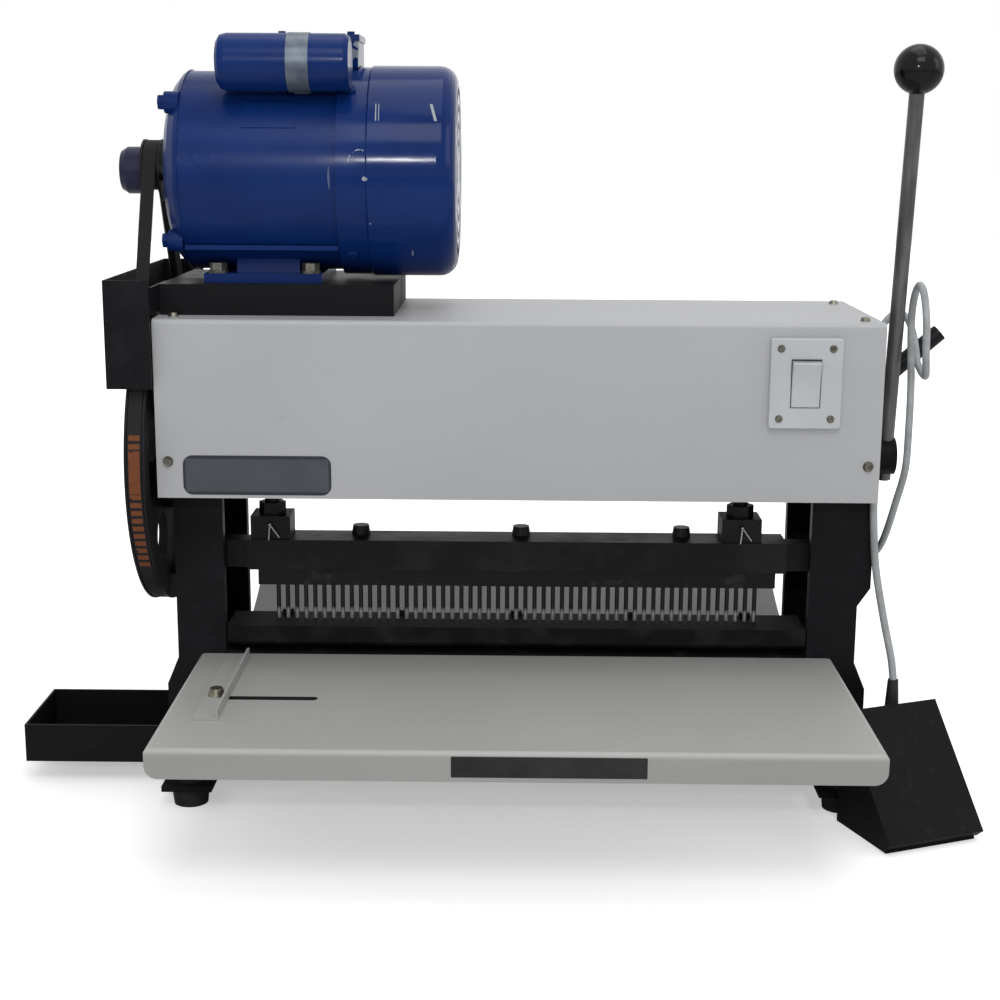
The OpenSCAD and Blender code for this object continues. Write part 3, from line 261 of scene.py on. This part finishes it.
level = sky.node("ShaderNodeMapRange",
                 inputs={"Value": direct | clear | mirrored, "To Min": 0.5, "To Max": 1.0})
background = sky.tree.nodes["Background"]
sky.plug((1, 1, 1, 1), background.inputs["Color"])
sky.plug(level, background.inputs["Strength"])


def softbox(name, at, look, size, power):
    """A rectangular lamp that looks at a point."""
    lamp_data = bpy.data.lights.new(name, "AREA")
    lamp_data.shape = "RECTANGLE"
    lamp_data.size, lamp_data.size_y = size
    lamp_data.energy = power
    lamp = bpy.data.objects.new(name, lamp_data)
    lamp.location = at
    lamp.rotation_euler = (Vector(look) - Vector(at)).to_track_quat("-Z", "Y").to_euler()
    scene.collection.objects.link(lamp)


softbox("front_lamp", (0.15, -1.6, 2.0), (0, 0, 0.25), (1.2, 0.8), 15)
softbox("key_lamp", (-0.2, -1.75, 0.86), (0, 0, 0.3), (0.13, 0.035), 5)
softbox("top_lamp", (0.2, 0.1, 2.2), (0, 0.05, 0), (1.8, 1.2), 13)
softbox("side_lamp", (2.2, -0.4, 1.2), (0, 0, 0.3), (0.8, 1.2), 6)

# Bench frame: a steel base plate, two flanged side frames and the rails and gussets on them, all sprayed
# satin black. The paint is a little dusty and rubbed to grey along its rough spots.
black = Finish("satin_black_paint")
dust = black.ramp(black.noise(34, 5, 0.65), 0.5, 0.78)
specks = black.noise(420, 2) > 0.73
coat = black.mix(dust * 0.5, shade((0.0075, 0.007, 0.0085)), shade((0.02, 0.019, 0.022)))
black_paint = black.set(
    base_color=black.mix(specks * 0.3, coat, shade((0.06, 0.06, 0.06))), specular_ior_level=0.07,
    roughness=0.4 + dust * 0.25, normal=black.bump(black.noise(600, 3), 0.12, 0.0005))
dress(black_paint, "base_plate", "left_side_frame", "right_side_frame", "motor_rails", "table_brackets",
      "left_beam_guide", "right_beam_guide", "motor_base", "belt_guard", "lever_hub")

# Rubber feet and drive belt: moulded black rubber, matt, with a bloom of dust. The belt carries plain orange
# bars on its back, which show where it runs round the flywheel.
rubber = Finish("black_rubber")
bloom = rubber.ramp(rubber.noise(60, 4), 0.4, 0.75)
dress(rubber.set(base_color=rubber.mix(bloom, shade((0.012, 0.012, 0.012)), shade((0.028, 0.027, 0.026))),
                 roughness=0.75, specular_ior_level=0.2,
                 normal=rubber.bump(rubber.noise(700, 2), 0.25, 0.0004)), "rubber_feet")
belt = Finish("belt_rubber")
belt_x, belt_y, belt_z = belt.axes()
frayed = belt.noise(260, 4)
belt_middle, print_half = -0.245, 0.0036
print_foot, print_top = 0.168, 0.262
bar_foot, bar_top = 0.222, 0.25
fine_bars = belt_z.math("SINE", belt_z * 1150) > -0.35
solid_bar = (belt_z > bar_foot) * (belt_z < bar_top)
on_back = (abs(belt_x - belt_middle) < print_half) * (belt_y < -0.03)
printed = on_back * (belt_z > print_foot) * (belt_z < print_top) * (frayed > 0.36)
orange = printed * (fine_bars | solid_bar)
dress(belt.set(base_color=belt.mix(orange, shade((0.014, 0.014, 0.015)), shade((0.15, 0.05, 0.02))),
               roughness=0.66, specular_ior_level=0.12, normal=belt.bump(frayed, 0.3, 0.0004)), "v_belt")

# Punch: a die and stop bolted together under the beam, of blackened tool steel with worn brighter patches,
# and a guide bar black with oil. The beam above is painted over a coarser casting skin.
tool_steel = Finish("blackened_steel")
rubbed = tool_steel.ramp(tool_steel.noise(48, 5, 0.7), 0.55, 0.8)
dress(tool_steel.set(
    base_color=tool_steel.mix(rubbed, shade((0.012, 0.0115, 0.013)), shade((0.05, 0.049, 0.05))),
    metallic=0.35, specular_ior_level=0.12, roughness=0.38 + rubbed * 0.12,
    normal=tool_steel.bump(tool_steel.noise(300, 3, stretch=(0.15, 1, 1)), 0.12, 0.0004)),
    "die_plate", "paper_stop", "die_bolts", "pin_plate", "beam_bolts", "crank_yokes", "yoke_studs",
    "stud_nuts", "cord_peg")
soot = Finish("oiled_black")
oiled = soot.ramp(soot.noise(60, 4), 0.45, 0.75)
dress(soot.set(base_color=soot.mix(oiled, shade((0.009, 0.0085, 0.0095)), shade((0.02, 0.0195, 0.021))),
               specular_ior_level=0.03, roughness=0.6 + oiled * 0.1), "pin_guide")
casting = Finish("painted_casting")
film = casting.ramp(casting.noise(30, 5, 0.6), 0.45, 0.75)
dress(casting.set(
    base_color=casting.mix(film, shade((0.01, 0.0095, 0.011)), shade((0.022, 0.021, 0.024))),
    specular_ior_level=0.09, roughness=0.4 + film * 0.15,
    normal=casting.bump(casting.noise(170, 4) + casting.noise(40, 2) * 0.6, 0.25, 0.0008)),
    "punch_beam", "flywheel", "motor_pulley")

# Shafts and bearings: ground steel with fine grinding marks round it and an oil film. The punch pins are
# blackened, with a painted highlight: much lighter steel over the length that runs in the guide.
ground = Finish("ground_steel")
marks = ground.noise(120, 4, stretch=(0.4, 0.4, 9))
oil = ground.ramp(ground.noise(26, 3), 0.4, 0.7)
ground_steel = ground.set(
    base_color=ground.mix(oil, shade((0.34, 0.34, 0.35)), shade((0.2, 0.195, 0.19))),
    metallic=1.0, roughness=0.24 + marks * 0.22)
pins = Finish("pin_steel")
dark_above, bright_below = 0.1275, 0.1245
# Painted highlight: the pins' lower length is a much lighter steel than the rest.
lower_highlight = pins.ramp(pins.axes()[2], dark_above, bright_below)
streaks = pins.noise(90, 3, stretch=(3, 3, 0.2))
dress(pins.set(base_color=pins.mix(lower_highlight, shade((0.03, 0.03, 0.031)), shade((0.46, 0.45, 0.44))),
               metallic=0.9, roughness=0.26 + streaks * 0.16), "punch_pins")
dress(ground_steel, "motor_shaft", "split_pins", "left_bearing", "right_bearing", "crank_shaft",
      "clutch_bolts")
bronze = Finish("bearing_bronze")
tarnish = bronze.ramp(bronze.noise(70, 4), 0.4, 0.7)
dress(bronze.set(base_color=bronze.mix(tarnish, shade((0.42, 0.25, 0.09)), shade((0.2, 0.12, 0.05))),
                 metallic=1.0, roughness=0.35 + tarnish * 0.2), "flywheel_bush")

# Cover and paper table: folded sheet steel, powder coated in a light grey white. The coat has a fine orange
# peel, a faint unevenness and a few dark scuffs.
def powder_coat(name, colour, worn, dark_lip_and_slot_shade=None):
    coat = Finish(name)
    cloudy = coat.ramp(coat.noise(7, 3), 0.3, 0.7)
    scuffs = coat.ramp(coat.noise(38, 6, 0.7), 0.66, 0.76) * (coat.noise(9, 2) > 0.52)
    tone = coat.mix(cloudy, shade(colour, 0.955), shade(colour, 1.03))
    tone = coat.mix(scuffs * worn, tone, shade(colour, 0.55))
    if dark_lip_and_slot_shade:
        lip_darkening, slot_wall_shade = dark_lip_and_slot_shade(*coat.axes())
        # The table's lip is darker below its top edge.
        tone = coat.mix(lip_darkening * (0.7 + cloudy * 0.3), tone, shade(colour, 0.74))
        # Painted shade: the slot's walls are black, for the shadow under the table seen through the slot.
        tone = coat.mix(slot_wall_shade, tone, shade((0.012, 0.012, 0.012)))
    return coat.set(base_color=tone, roughness=0.4 + cloudy * 0.1,
                    normal=coat.bump(coat.noise(520, 2), 0.1, 0.0004))


dress(powder_coat("cover_powder_coat", (0.37, 0.375, 0.385), 0.25), "top_cover")
slot_y, slot_half = -0.1175, 0.0037
slot_from, slot_to = -0.1935, -0.1245
table_top, lip_dark_from, lip_dark_full = 0.09985, 0.0985, 0.0955


def table_dark_lip_and_slot_shade(x, y, z):
    """Masks of the lip, darker below its top edge, and of the slot's walls, painted black as shade."""
    # The lip darkens from just under the table's top down over its front face.
    lip_darkening = x.graph.ramp(z, lip_dark_from, lip_dark_full)
    # Painted shade: the walls inside the slot, coloured black.
    slot_wall_shade = (abs(y - slot_y) < slot_half) * (x > slot_from) * (x < slot_to) * (z < table_top)
    return lip_darkening, slot_wall_shade


dress(powder_coat("table_powder_coat", (0.355, 0.35, 0.338), 0.35, table_dark_lip_and_slot_shade), "table")
dress(powder_coat("gauge_powder_coat", (0.36, 0.358, 0.35), 0.3), "side_gauge")

# Painted shade under the table's slot: a folded black channel, clear of the gauge's nut, that stands in for
# the shadow under the table seen through the slot.
shade_channel = bmesh.new()
bmesh.ops.create_cube(shade_channel, size=1)
bmesh.ops.scale(shade_channel, vec=(0.082, 0.0176, 0.0118), verts=shade_channel.verts)
bmesh.ops.translate(shade_channel, vec=((slot_from + slot_to) / 2, slot_y, 0.0920), verts=shade_channel.verts)
bmesh.ops.delete(shade_channel, geom=[f for f in shade_channel.faces if f.normal.z > 0.5], context="FACES_ONLY")
bmesh.ops.solidify(shade_channel, geom=shade_channel.faces[:], thickness=0.0008)
piece("gauge_track", shade_channel, black_paint)

# Chute behind the pins: plain rolled sheet that carries the sheets' edges away, grey and brushed lengthwise.
sheet = Finish("plain_sheet")
rolled = sheet.noise(60, 4, stretch=(0.08, 1, 1))
dress(sheet.set(base_color=sheet.mix(rolled, shade((0.118, 0.116, 0.122)), shade((0.178, 0.174, 0.182))),
                metallic=0.35, roughness=0.42 + rolled * 0.15), "waste_chute")

# Screws of the cover, the switch and the gauge: zinc plated, yellowed and grimy. The motor's foot bolts are
# dull steel, and its other fixings went under the blue paint.
zinc = Finish("yellowed_zinc")
stain = zinc.ramp(zinc.noise(240, 4), 0.4, 0.7)
zinc_plate = zinc.set(base_color=zinc.mix(stain, shade((0.2, 0.188, 0.15)), shade((0.07, 0.066, 0.05))),
                      metallic=0.9, roughness=0.34 + stain * 0.2)
dress(zinc_plate, "cover_screws", "switch_screws", "gauge_screw")
fixing = Finish("motor_fixings")
last_foot_bolt = -0.12
painted = fixing.axes()[0] > last_foot_bolt
dulled = fixing.ramp(fixing.noise(190, 4), 0.4, 0.7)
bolt_steel = fixing.mix(dulled, shade((0.17, 0.165, 0.14)), shade((0.06, 0.057, 0.048)))
dress(fixing.set(base_color=fixing.mix(painted, bolt_steel, shade((0.006, 0.02, 0.11))),
                 metallic=0.85 * (1 - painted), roughness=0.32 + dulled * 0.2), "motor_bolts")

# Switch: a moulded white plate with softened edges, screwed on the cover, and a glossy rocker in it.
moulding = Finish("white_moulding")
yellowing = moulding.ramp(moulding.noise(24, 3), 0.35, 0.7)
white_moulding = moulding.set(
    base_color=moulding.mix(yellowing, shade((0.45, 0.465, 0.485)), shade((0.405, 0.415, 0.425))),
    roughness=0.27, normal=moulding.bump(moulding.noise(800, 2), 0.04, 0.0003))
low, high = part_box("switch_plate")
window_middle = Vector((0.183, -0.063, 0.295))
window_x0, window_x1 = 0.1735, 0.1925
window_z0, window_z1 = 0.2795, 0.3105


def upright_loop(shape, x0, x1, z0, z1, y):
    """Four edges round an upright rectangle."""
    corners = [shape.verts.new((x, y, z)) for x, z in ((x0, z0), (x1, z0), (x1, z1), (x0, z1))]
    return [shape.edges.new((corners[i], corners[i - 1])) for i in range(4)]


plate = bmesh.new()
loops = upright_loop(plate, low[0], high[0], low[2], high[2], low[1])
loops += upright_loop(plate, window_x0, window_x1, window_z0, window_z1, low[1])
bmesh.ops.bridge_loops(plate, edges=loops)
behind = bmesh.ops.extrude_face_region(plate, geom=plate.faces[:])["geom"]
bmesh.ops.translate(plate, vec=(0, high[1] - low[1], 0),
                    verts=[v for v in behind if isinstance(v, bmesh.types.BMVert)])
bmesh.ops.recalc_face_normals(plate, faces=plate.faces)
corners = [e for e in plate.edges if abs(e.verts[0].co.y - e.verts[1].co.y) > 0.001
           and abs(e.verts[0].co.x - window_middle.x) > 0.015]
bmesh.ops.bevel(plate, geom=corners, offset=0.002, segments=4, profile=0.5, affect="EDGES", material=-1)
front_rim = [e for e in plate.edges if all(abs(v.co.y - low[1]) < 1e-6 for v in e.verts) and e.is_manifold
             and e.calc_face_angle(0) > 0.5]
bmesh.ops.bevel(plate, geom=front_rim, offset=0.0009, segments=3, profile=0.5, affect="EDGES", material=-1)
switch_surround = piece("switch_surround", plate, white_moulding)
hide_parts("switch_plate")
key = bmesh.new()
key_size = Vector((0.0182, 0.0085, 0.0292))
bmesh.ops.create_cube(key, size=1)
bmesh.ops.scale(key, vec=key_size, verts=key.verts)
bmesh.ops.translate(key, vec=(0, -0.00125, 0), verts=key.verts)
tall_edges = [e for e in key.edges if abs(e.verts[0].co.z - e.verts[1].co.z) > 0.01]
bmesh.ops.subdivide_edges(key, edges=tall_edges, cuts=7, use_grid_fill=True)
for vert in key.verts:
    if vert.co.y < -0.004:
        vert.co.y += 0.0016 * (1 - (2 * vert.co.z / key_size.z) ** 2)
key_rim = [e for e in key.edges if all(v.co.y < -0.003 for v in e.verts) and e.calc_face_angle(0) > 0.8]
bmesh.ops.bevel(key, geom=key_rim, offset=0.0009, segments=3, profile=0.5, affect="EDGES", material=-1)
key_turn = Matrix.Translation(window_middle) @ Matrix.Rotation(radians(8), 4, "X")
bmesh.ops.transform(key, matrix=key_turn, verts=key.verts)
rocker_key = piece("rocker_key", key, white_moulding, body="rocker")
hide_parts("rocker_switch")

# Name plate and notice strip: where the real machine carries printing, a bare slate-blue plate on the cover
# and a bare black strip on the table's lip. Both are thin plastic, stuck on.
def stuck_plate(name, low, high, corner, material):
    """A thin upright plate facing the front, with rounded corners and a soft edge."""
    shape = bmesh.new()
    bmesh.ops.create_cube(shape, size=1)
    bmesh.ops.scale(shape, vec=Vector(high) - Vector(low), verts=shape.verts)
    bmesh.ops.translate(shape, vec=(Vector(high) + Vector(low)) / 2, verts=shape.verts)
    upright = [e for e in shape.edges if abs(e.verts[0].co.y - e.verts[1].co.y) > 1e-6]
    bmesh.ops.bevel(shape, geom=upright, offset=corner, segments=6, profile=0.5, affect="EDGES", material=-1)
    rim = [e for e in shape.edges if all(abs(v.co.y - low[1]) < 1e-6 for v in e.verts)]
    bmesh.ops.bevel(shape, geom=rim, offset=0.0003, segments=2, profile=0.5, affect="EDGES", material=-1)
    return piece(name, shape, material)


slate = Finish("slate_plate")
badge_low, badge_high = (-0.2165, -0.0625, 0.2193), (-0.1205, -0.0619, 0.2452)
badge_middle_x, badge_middle_z = -0.1685, 0.2322
longer_half, border_from = 0.0355, 0.0108
badge_x, _, badge_z = slate.axes()
out_of_middle = (abs(badge_x - badge_middle_x) - longer_half) | abs(badge_z - badge_middle_z)
border = out_of_middle > border_from
fade = slate.ramp(slate.noise(40, 3), 0.3, 0.7)
face = slate.mix(fade, shade((0.063, 0.067, 0.083)), shade((0.05, 0.053, 0.066)))
slate_paint = slate.set(base_color=slate.mix(border, face, shade((0.022, 0.024, 0.032))),
                        specular_ior_level=0.25, roughness=0.36 + fade * 0.12)
stuck_plate("badge_plate", badge_low, badge_high, 0.0062, slate_paint)
strip = Finish("black_strip")
smear = strip.ramp(strip.noise(45, 4), 0.4, 0.75)
strip_low, strip_high = (-0.0375, -0.2098, 0.0843), (0.0765, -0.2094, 0.0972)
strip_film = strip.set(base_color=strip.mix(smear, shade((0.008, 0.008, 0.009)), shade((0.02, 0.02, 0.022))),
                       specular_ior_level=0.25, roughness=0.32 + smear * 0.2)
stuck_plate("notice_strip", strip_low, strip_high, 0.0006, strip_film)

# Motor: a cast and pressed body in glossy blue enamel, brushed on thick, with runs, dull patches and chips on
# the cowl that show grey primer. Its capacitor and terminal box have the same paint.
blue = Finish("blue_enamel")
blue_x, blue_y, blue_z = blue.axes()
thick = blue.noise(26, 4, 0.6, stretch=(0.35, 1, 1))
patchy = blue.ramp(thick, 0.32, 0.7)
cowl_from, cowl_full = -0.13, -0.1
on_cowl = blue.ramp(blue_x, cowl_from, cowl_full)
chips = (blue.noise(52, 3, 0.5) > 0.69) * on_cowl * (blue.noise(17, 2) > 0.5)
scratch = (blue.noise(30, 2, 0.5, stretch=(6, 1, 0.35)) > 0.76) * on_cowl
seen_side = blue_y < 0.0
wobble = (blue.noise(120, 3) - 0.5) * 0.004
nick_foot, nick_top = 0.457, 0.4675
nick_band = (blue_z > nick_foot) * (blue_z < nick_top) * seen_side
for nick_x, half, lean in ((-0.0917, 0.00035, 0.02), (-0.0898, 0.00025, 0.02), (-0.0552, 0.0009, 0.3)):
    off_line = blue_x - nick_x + (blue_z - 0.4625) * lean
    scratch = scratch | (abs(off_line) < half) * nick_band
gouge_at, arc_at = (-0.0975, 0.4215), (-0.1015, 0.4305)
gouge_x = blue_x - gouge_at[0] + wobble
gouge_z = blue_z - gouge_at[1] + wobble * 0.7
gouge_edge = 0.0000045 + (blue.noise(330, 3) - 0.5) * 0.000016
gouge = ((gouge_x * gouge_x + gouge_z * gouge_z * 2.2) < gouge_edge) * seen_side
arc_x = blue_x - arc_at[0] + wobble * 0.5
arc_z = blue_z - arc_at[1] + wobble * 0.5
ring = arc_x * arc_x + arc_z * arc_z * 0.8
broken = blue.noise(420, 2) > 0.47
arc = (ring > 0.000051) * (ring < 0.00006) * (arc_z > 0.001) * (arc_x < 0.0025) * broken * seen_side
bare = chips | scratch | gouge | arc
enamel = blue.mix(patchy, shade((0.0022, 0.016, 0.096)), shade((0.0042, 0.025, 0.134)))
pitted = blue.noise(210, 3, 0.6) * blue.ramp(blue_x, -0.165, -0.215)
blue_enamel = blue.set(
    base_color=blue.mix(bare, enamel, shade((0.3, 0.33, 0.36))),
    roughness=0.21 + patchy * 0.08 - on_cowl * 0.11 + bare * 0.3, specular_ior_level=0.12,
    normal=blue.bump(thick * 0.5 + pitted * 0.7 - bare * 0.25, 0.3, 0.0009))
dress(blue_enamel, "motor_housing", "motor_end_bell", "fan_cowl", "capacitor", "terminal_box", "terminal_lid")
fan = Finish("fan_moulding")
fan_dust = fan.ramp(fan.noise(50, 4), 0.4, 0.7)
dress(fan.set(base_color=fan.mix(fan_dust, shade((0.014, 0.014, 0.015)), shade((0.06, 0.058, 0.055))),
              roughness=0.6), "cooling_fan")
nut = Finish("blued_nut")
nut_wear = nut.ramp(nut.noise(80, 4), 0.5, 0.75)
dress(nut.set(base_color=nut.mix(nut_wear, shade((0.0075, 0.0095, 0.034)), shade((0.022, 0.026, 0.06))),
              specular_ior_level=0.2, roughness=0.33 + nut_wear * 0.15), "pulley_nut")

# Capacitor band: a dull metal foil, printed on the real motor and bare here, with fine lines round it and
# rubbed edges.
foil = Finish("bright_foil")
lines = foil.noise(150, 3, stretch=(8, 0.5, 0.5))
rub = foil.ramp(foil.noise(70, 4), 0.45, 0.75)
dress(foil.set(base_color=foil.mix(rub, shade((0.12, 0.14, 0.165)), shade((0.05, 0.066, 0.105))),
               metallic=0.6, roughness=0.28 + lines * 0.2), "capacitor_band")

# Bolts through the end bell and screws of the fan cowl: hexagon heads painted over with the motor.
motor_axis = Vector((0, 0.022, 0.424))
bell_face, bell_ring = Vector((-0.2279, 0, 0)), 0.062
cowl_rim, cowl_ring = Vector((-0.1085, 0, 0)), 0.0679


def motor_spoke(angle):
    """The direction out of the motor's axis at an angle in degrees from the top to the front."""
    return Vector((0, -sin(radians(angle)), cos(radians(angle))))


def hex_head(name, at, axis, across, thick, material):
    """A chamfered hexagon head standing on a surface."""
    shape = bmesh.new()
    radius = across / 1.732
    bmesh.ops.create_cone(shape, cap_ends=True, segments=6, radius1=radius, radius2=radius, depth=thick)
    top = [e for e in shape.edges if all(v.co.z > 0 for v in e.verts)]
    bmesh.ops.bevel(shape, geom=top, offset=across * 0.09, segments=2, profile=0.5, affect="EDGES",
                    material=-1)
    bmesh.ops.translate(shape, vec=(0, 0, thick / 2), verts=shape.verts)
    turn = Vector((0, 0, 1)).rotation_difference(Vector(axis)).to_matrix().to_4x4()
    bmesh.ops.transform(shape, matrix=Matrix.Translation(at) @ turn, verts=shape.verts)
    return piece(name, shape, material)


for k, angle in enumerate((45, 135, 225, 315)):
    at = motor_axis + motor_spoke(angle) * bell_ring + bell_face
    hex_head("bell_bolt_%d" % k, at, (-1, 0, 0), 0.009, 0.0045, blue_enamel)
for k, angle in enumerate((40, 140, 220, 320)):
    spoke = motor_spoke(angle)
    at = motor_axis + spoke * cowl_ring + cowl_rim
    hex_head("cowl_screw_%d" % k, at, spoke, 0.0065, 0.002, blue_enamel)

# Rating plate on the motor's front: a small sheet bent to the body and painted over, with no marking.
rating = bmesh.new()
rating_x, rating_angle, body_radius = -0.1603, radians(56), 0.0648
bmesh.ops.create_grid(rating, x_segments=2, y_segments=10, size=0.5)
bmesh.ops.scale(rating, vec=(0.0345, 0.019, 1), verts=rating.verts)
rating_edges = bmesh.ops.extrude_face_region(rating, geom=rating.faces[:])["geom"]
bmesh.ops.translate(rating, vec=(0, 0, 0.0009),
                    verts=[v for v in rating_edges if isinstance(v, bmesh.types.BMVert)])
for vert in rating.verts:
    angle = rating_angle - vert.co.y / 0.065
    reach = body_radius + vert.co.z
    vert.co = motor_axis + Vector((vert.co.x + rating_x, -reach * sin(angle), reach * cos(angle)))
bmesh.ops.recalc_face_normals(rating, faces=rating.faces)
piece("rating_plate", rating, blue_enamel)

# Hand lever: a drawn steel rod, dark with handling, in a black boss on the crank shaft, with a pressed-on
# ball of polished black plastic.
rod = Finish("handled_rod")
rod_marks = rod.noise(60, 4, stretch=(2, 2, 0.2))
grip = rod.ramp(rod_marks, 0.4, 0.7)
dress(rod.set(base_color=rod.mix(grip, shade((0.07, 0.07, 0.073)), shade((0.15, 0.15, 0.152))),
              metallic=0.7, roughness=0.36 + grip * 0.16), "lever_rod")
ball = Finish("polished_ball")
hairlines = ball.ramp(ball.noise(140, 4), 0.5, 0.8)
dress(ball.set(base_color=ball.mix(hairlines, shade((0.0055, 0.0055, 0.007)), shade((0.01, 0.01, 0.012))),
               specular_ior_level=0.16, roughness=0.13 + hairlines * 0.12), "ball_knob")

# Chip drawer: a bent sheet tray, sprayed black inside and out, dull and scraped where it slides.
tray = Finish("drawer_paint")
scraped = tray.ramp(tray.noise(70, 5, 0.7, stretch=(0.2, 1, 1)), 0.6, 0.8)
dress(tray.set(base_color=tray.mix(scraped, shade((0.0065, 0.0065, 0.0065)), shade((0.03, 0.0295, 0.029))),
               specular_ior_level=0.08, roughness=0.5 + scraped * 0.1,
               normal=tray.bump(tray.noise(420, 3), 0.12, 0.0004)), "chip_drawer")

# Foot switch: a folded treadle over a wedge housing, both painted black, dusty and scuffed by shoes, with a
# moulded black strain relief for its cord and a gland of the same plastic in the frame.
pedal = Finish("scuffed_pedal")
trodden = pedal.ramp(pedal.noise(30, 6, 0.7), 0.5, 0.75)
fine = pedal.ramp(pedal.noise(130, 4, 0.6, stretch=(1, 0.25, 1)), 0.6, 0.8)
pedal_paint = pedal.mix(trodden * 0.7, shade((0.006, 0.0055, 0.0065)), shade((0.013, 0.012, 0.0135)))
dress(pedal.set(base_color=pedal.mix(fine * 0.5, pedal_paint, shade((0.035, 0.034, 0.035))),
                specular_ior_level=0.07, roughness=0.42 + trodden * 0.2,
                normal=pedal.bump(pedal.noise(500, 3), 0.15, 0.0005)), "foot_switch_base", "foot_treadle")
grommet = Finish("black_moulding")
grain = grommet.ramp(grommet.noise(90, 3), 0.35, 0.7)
dress(grommet.set(base_color=grommet.mix(grain, shade((0.01, 0.01, 0.011)), shade((0.022, 0.022, 0.023))),
                  specular_ior_level=0.3, roughness=0.55,
                  normal=grommet.bump(grommet.noise(900, 2), 0.2, 0.0003)), "cord_boot", "cord_gland")
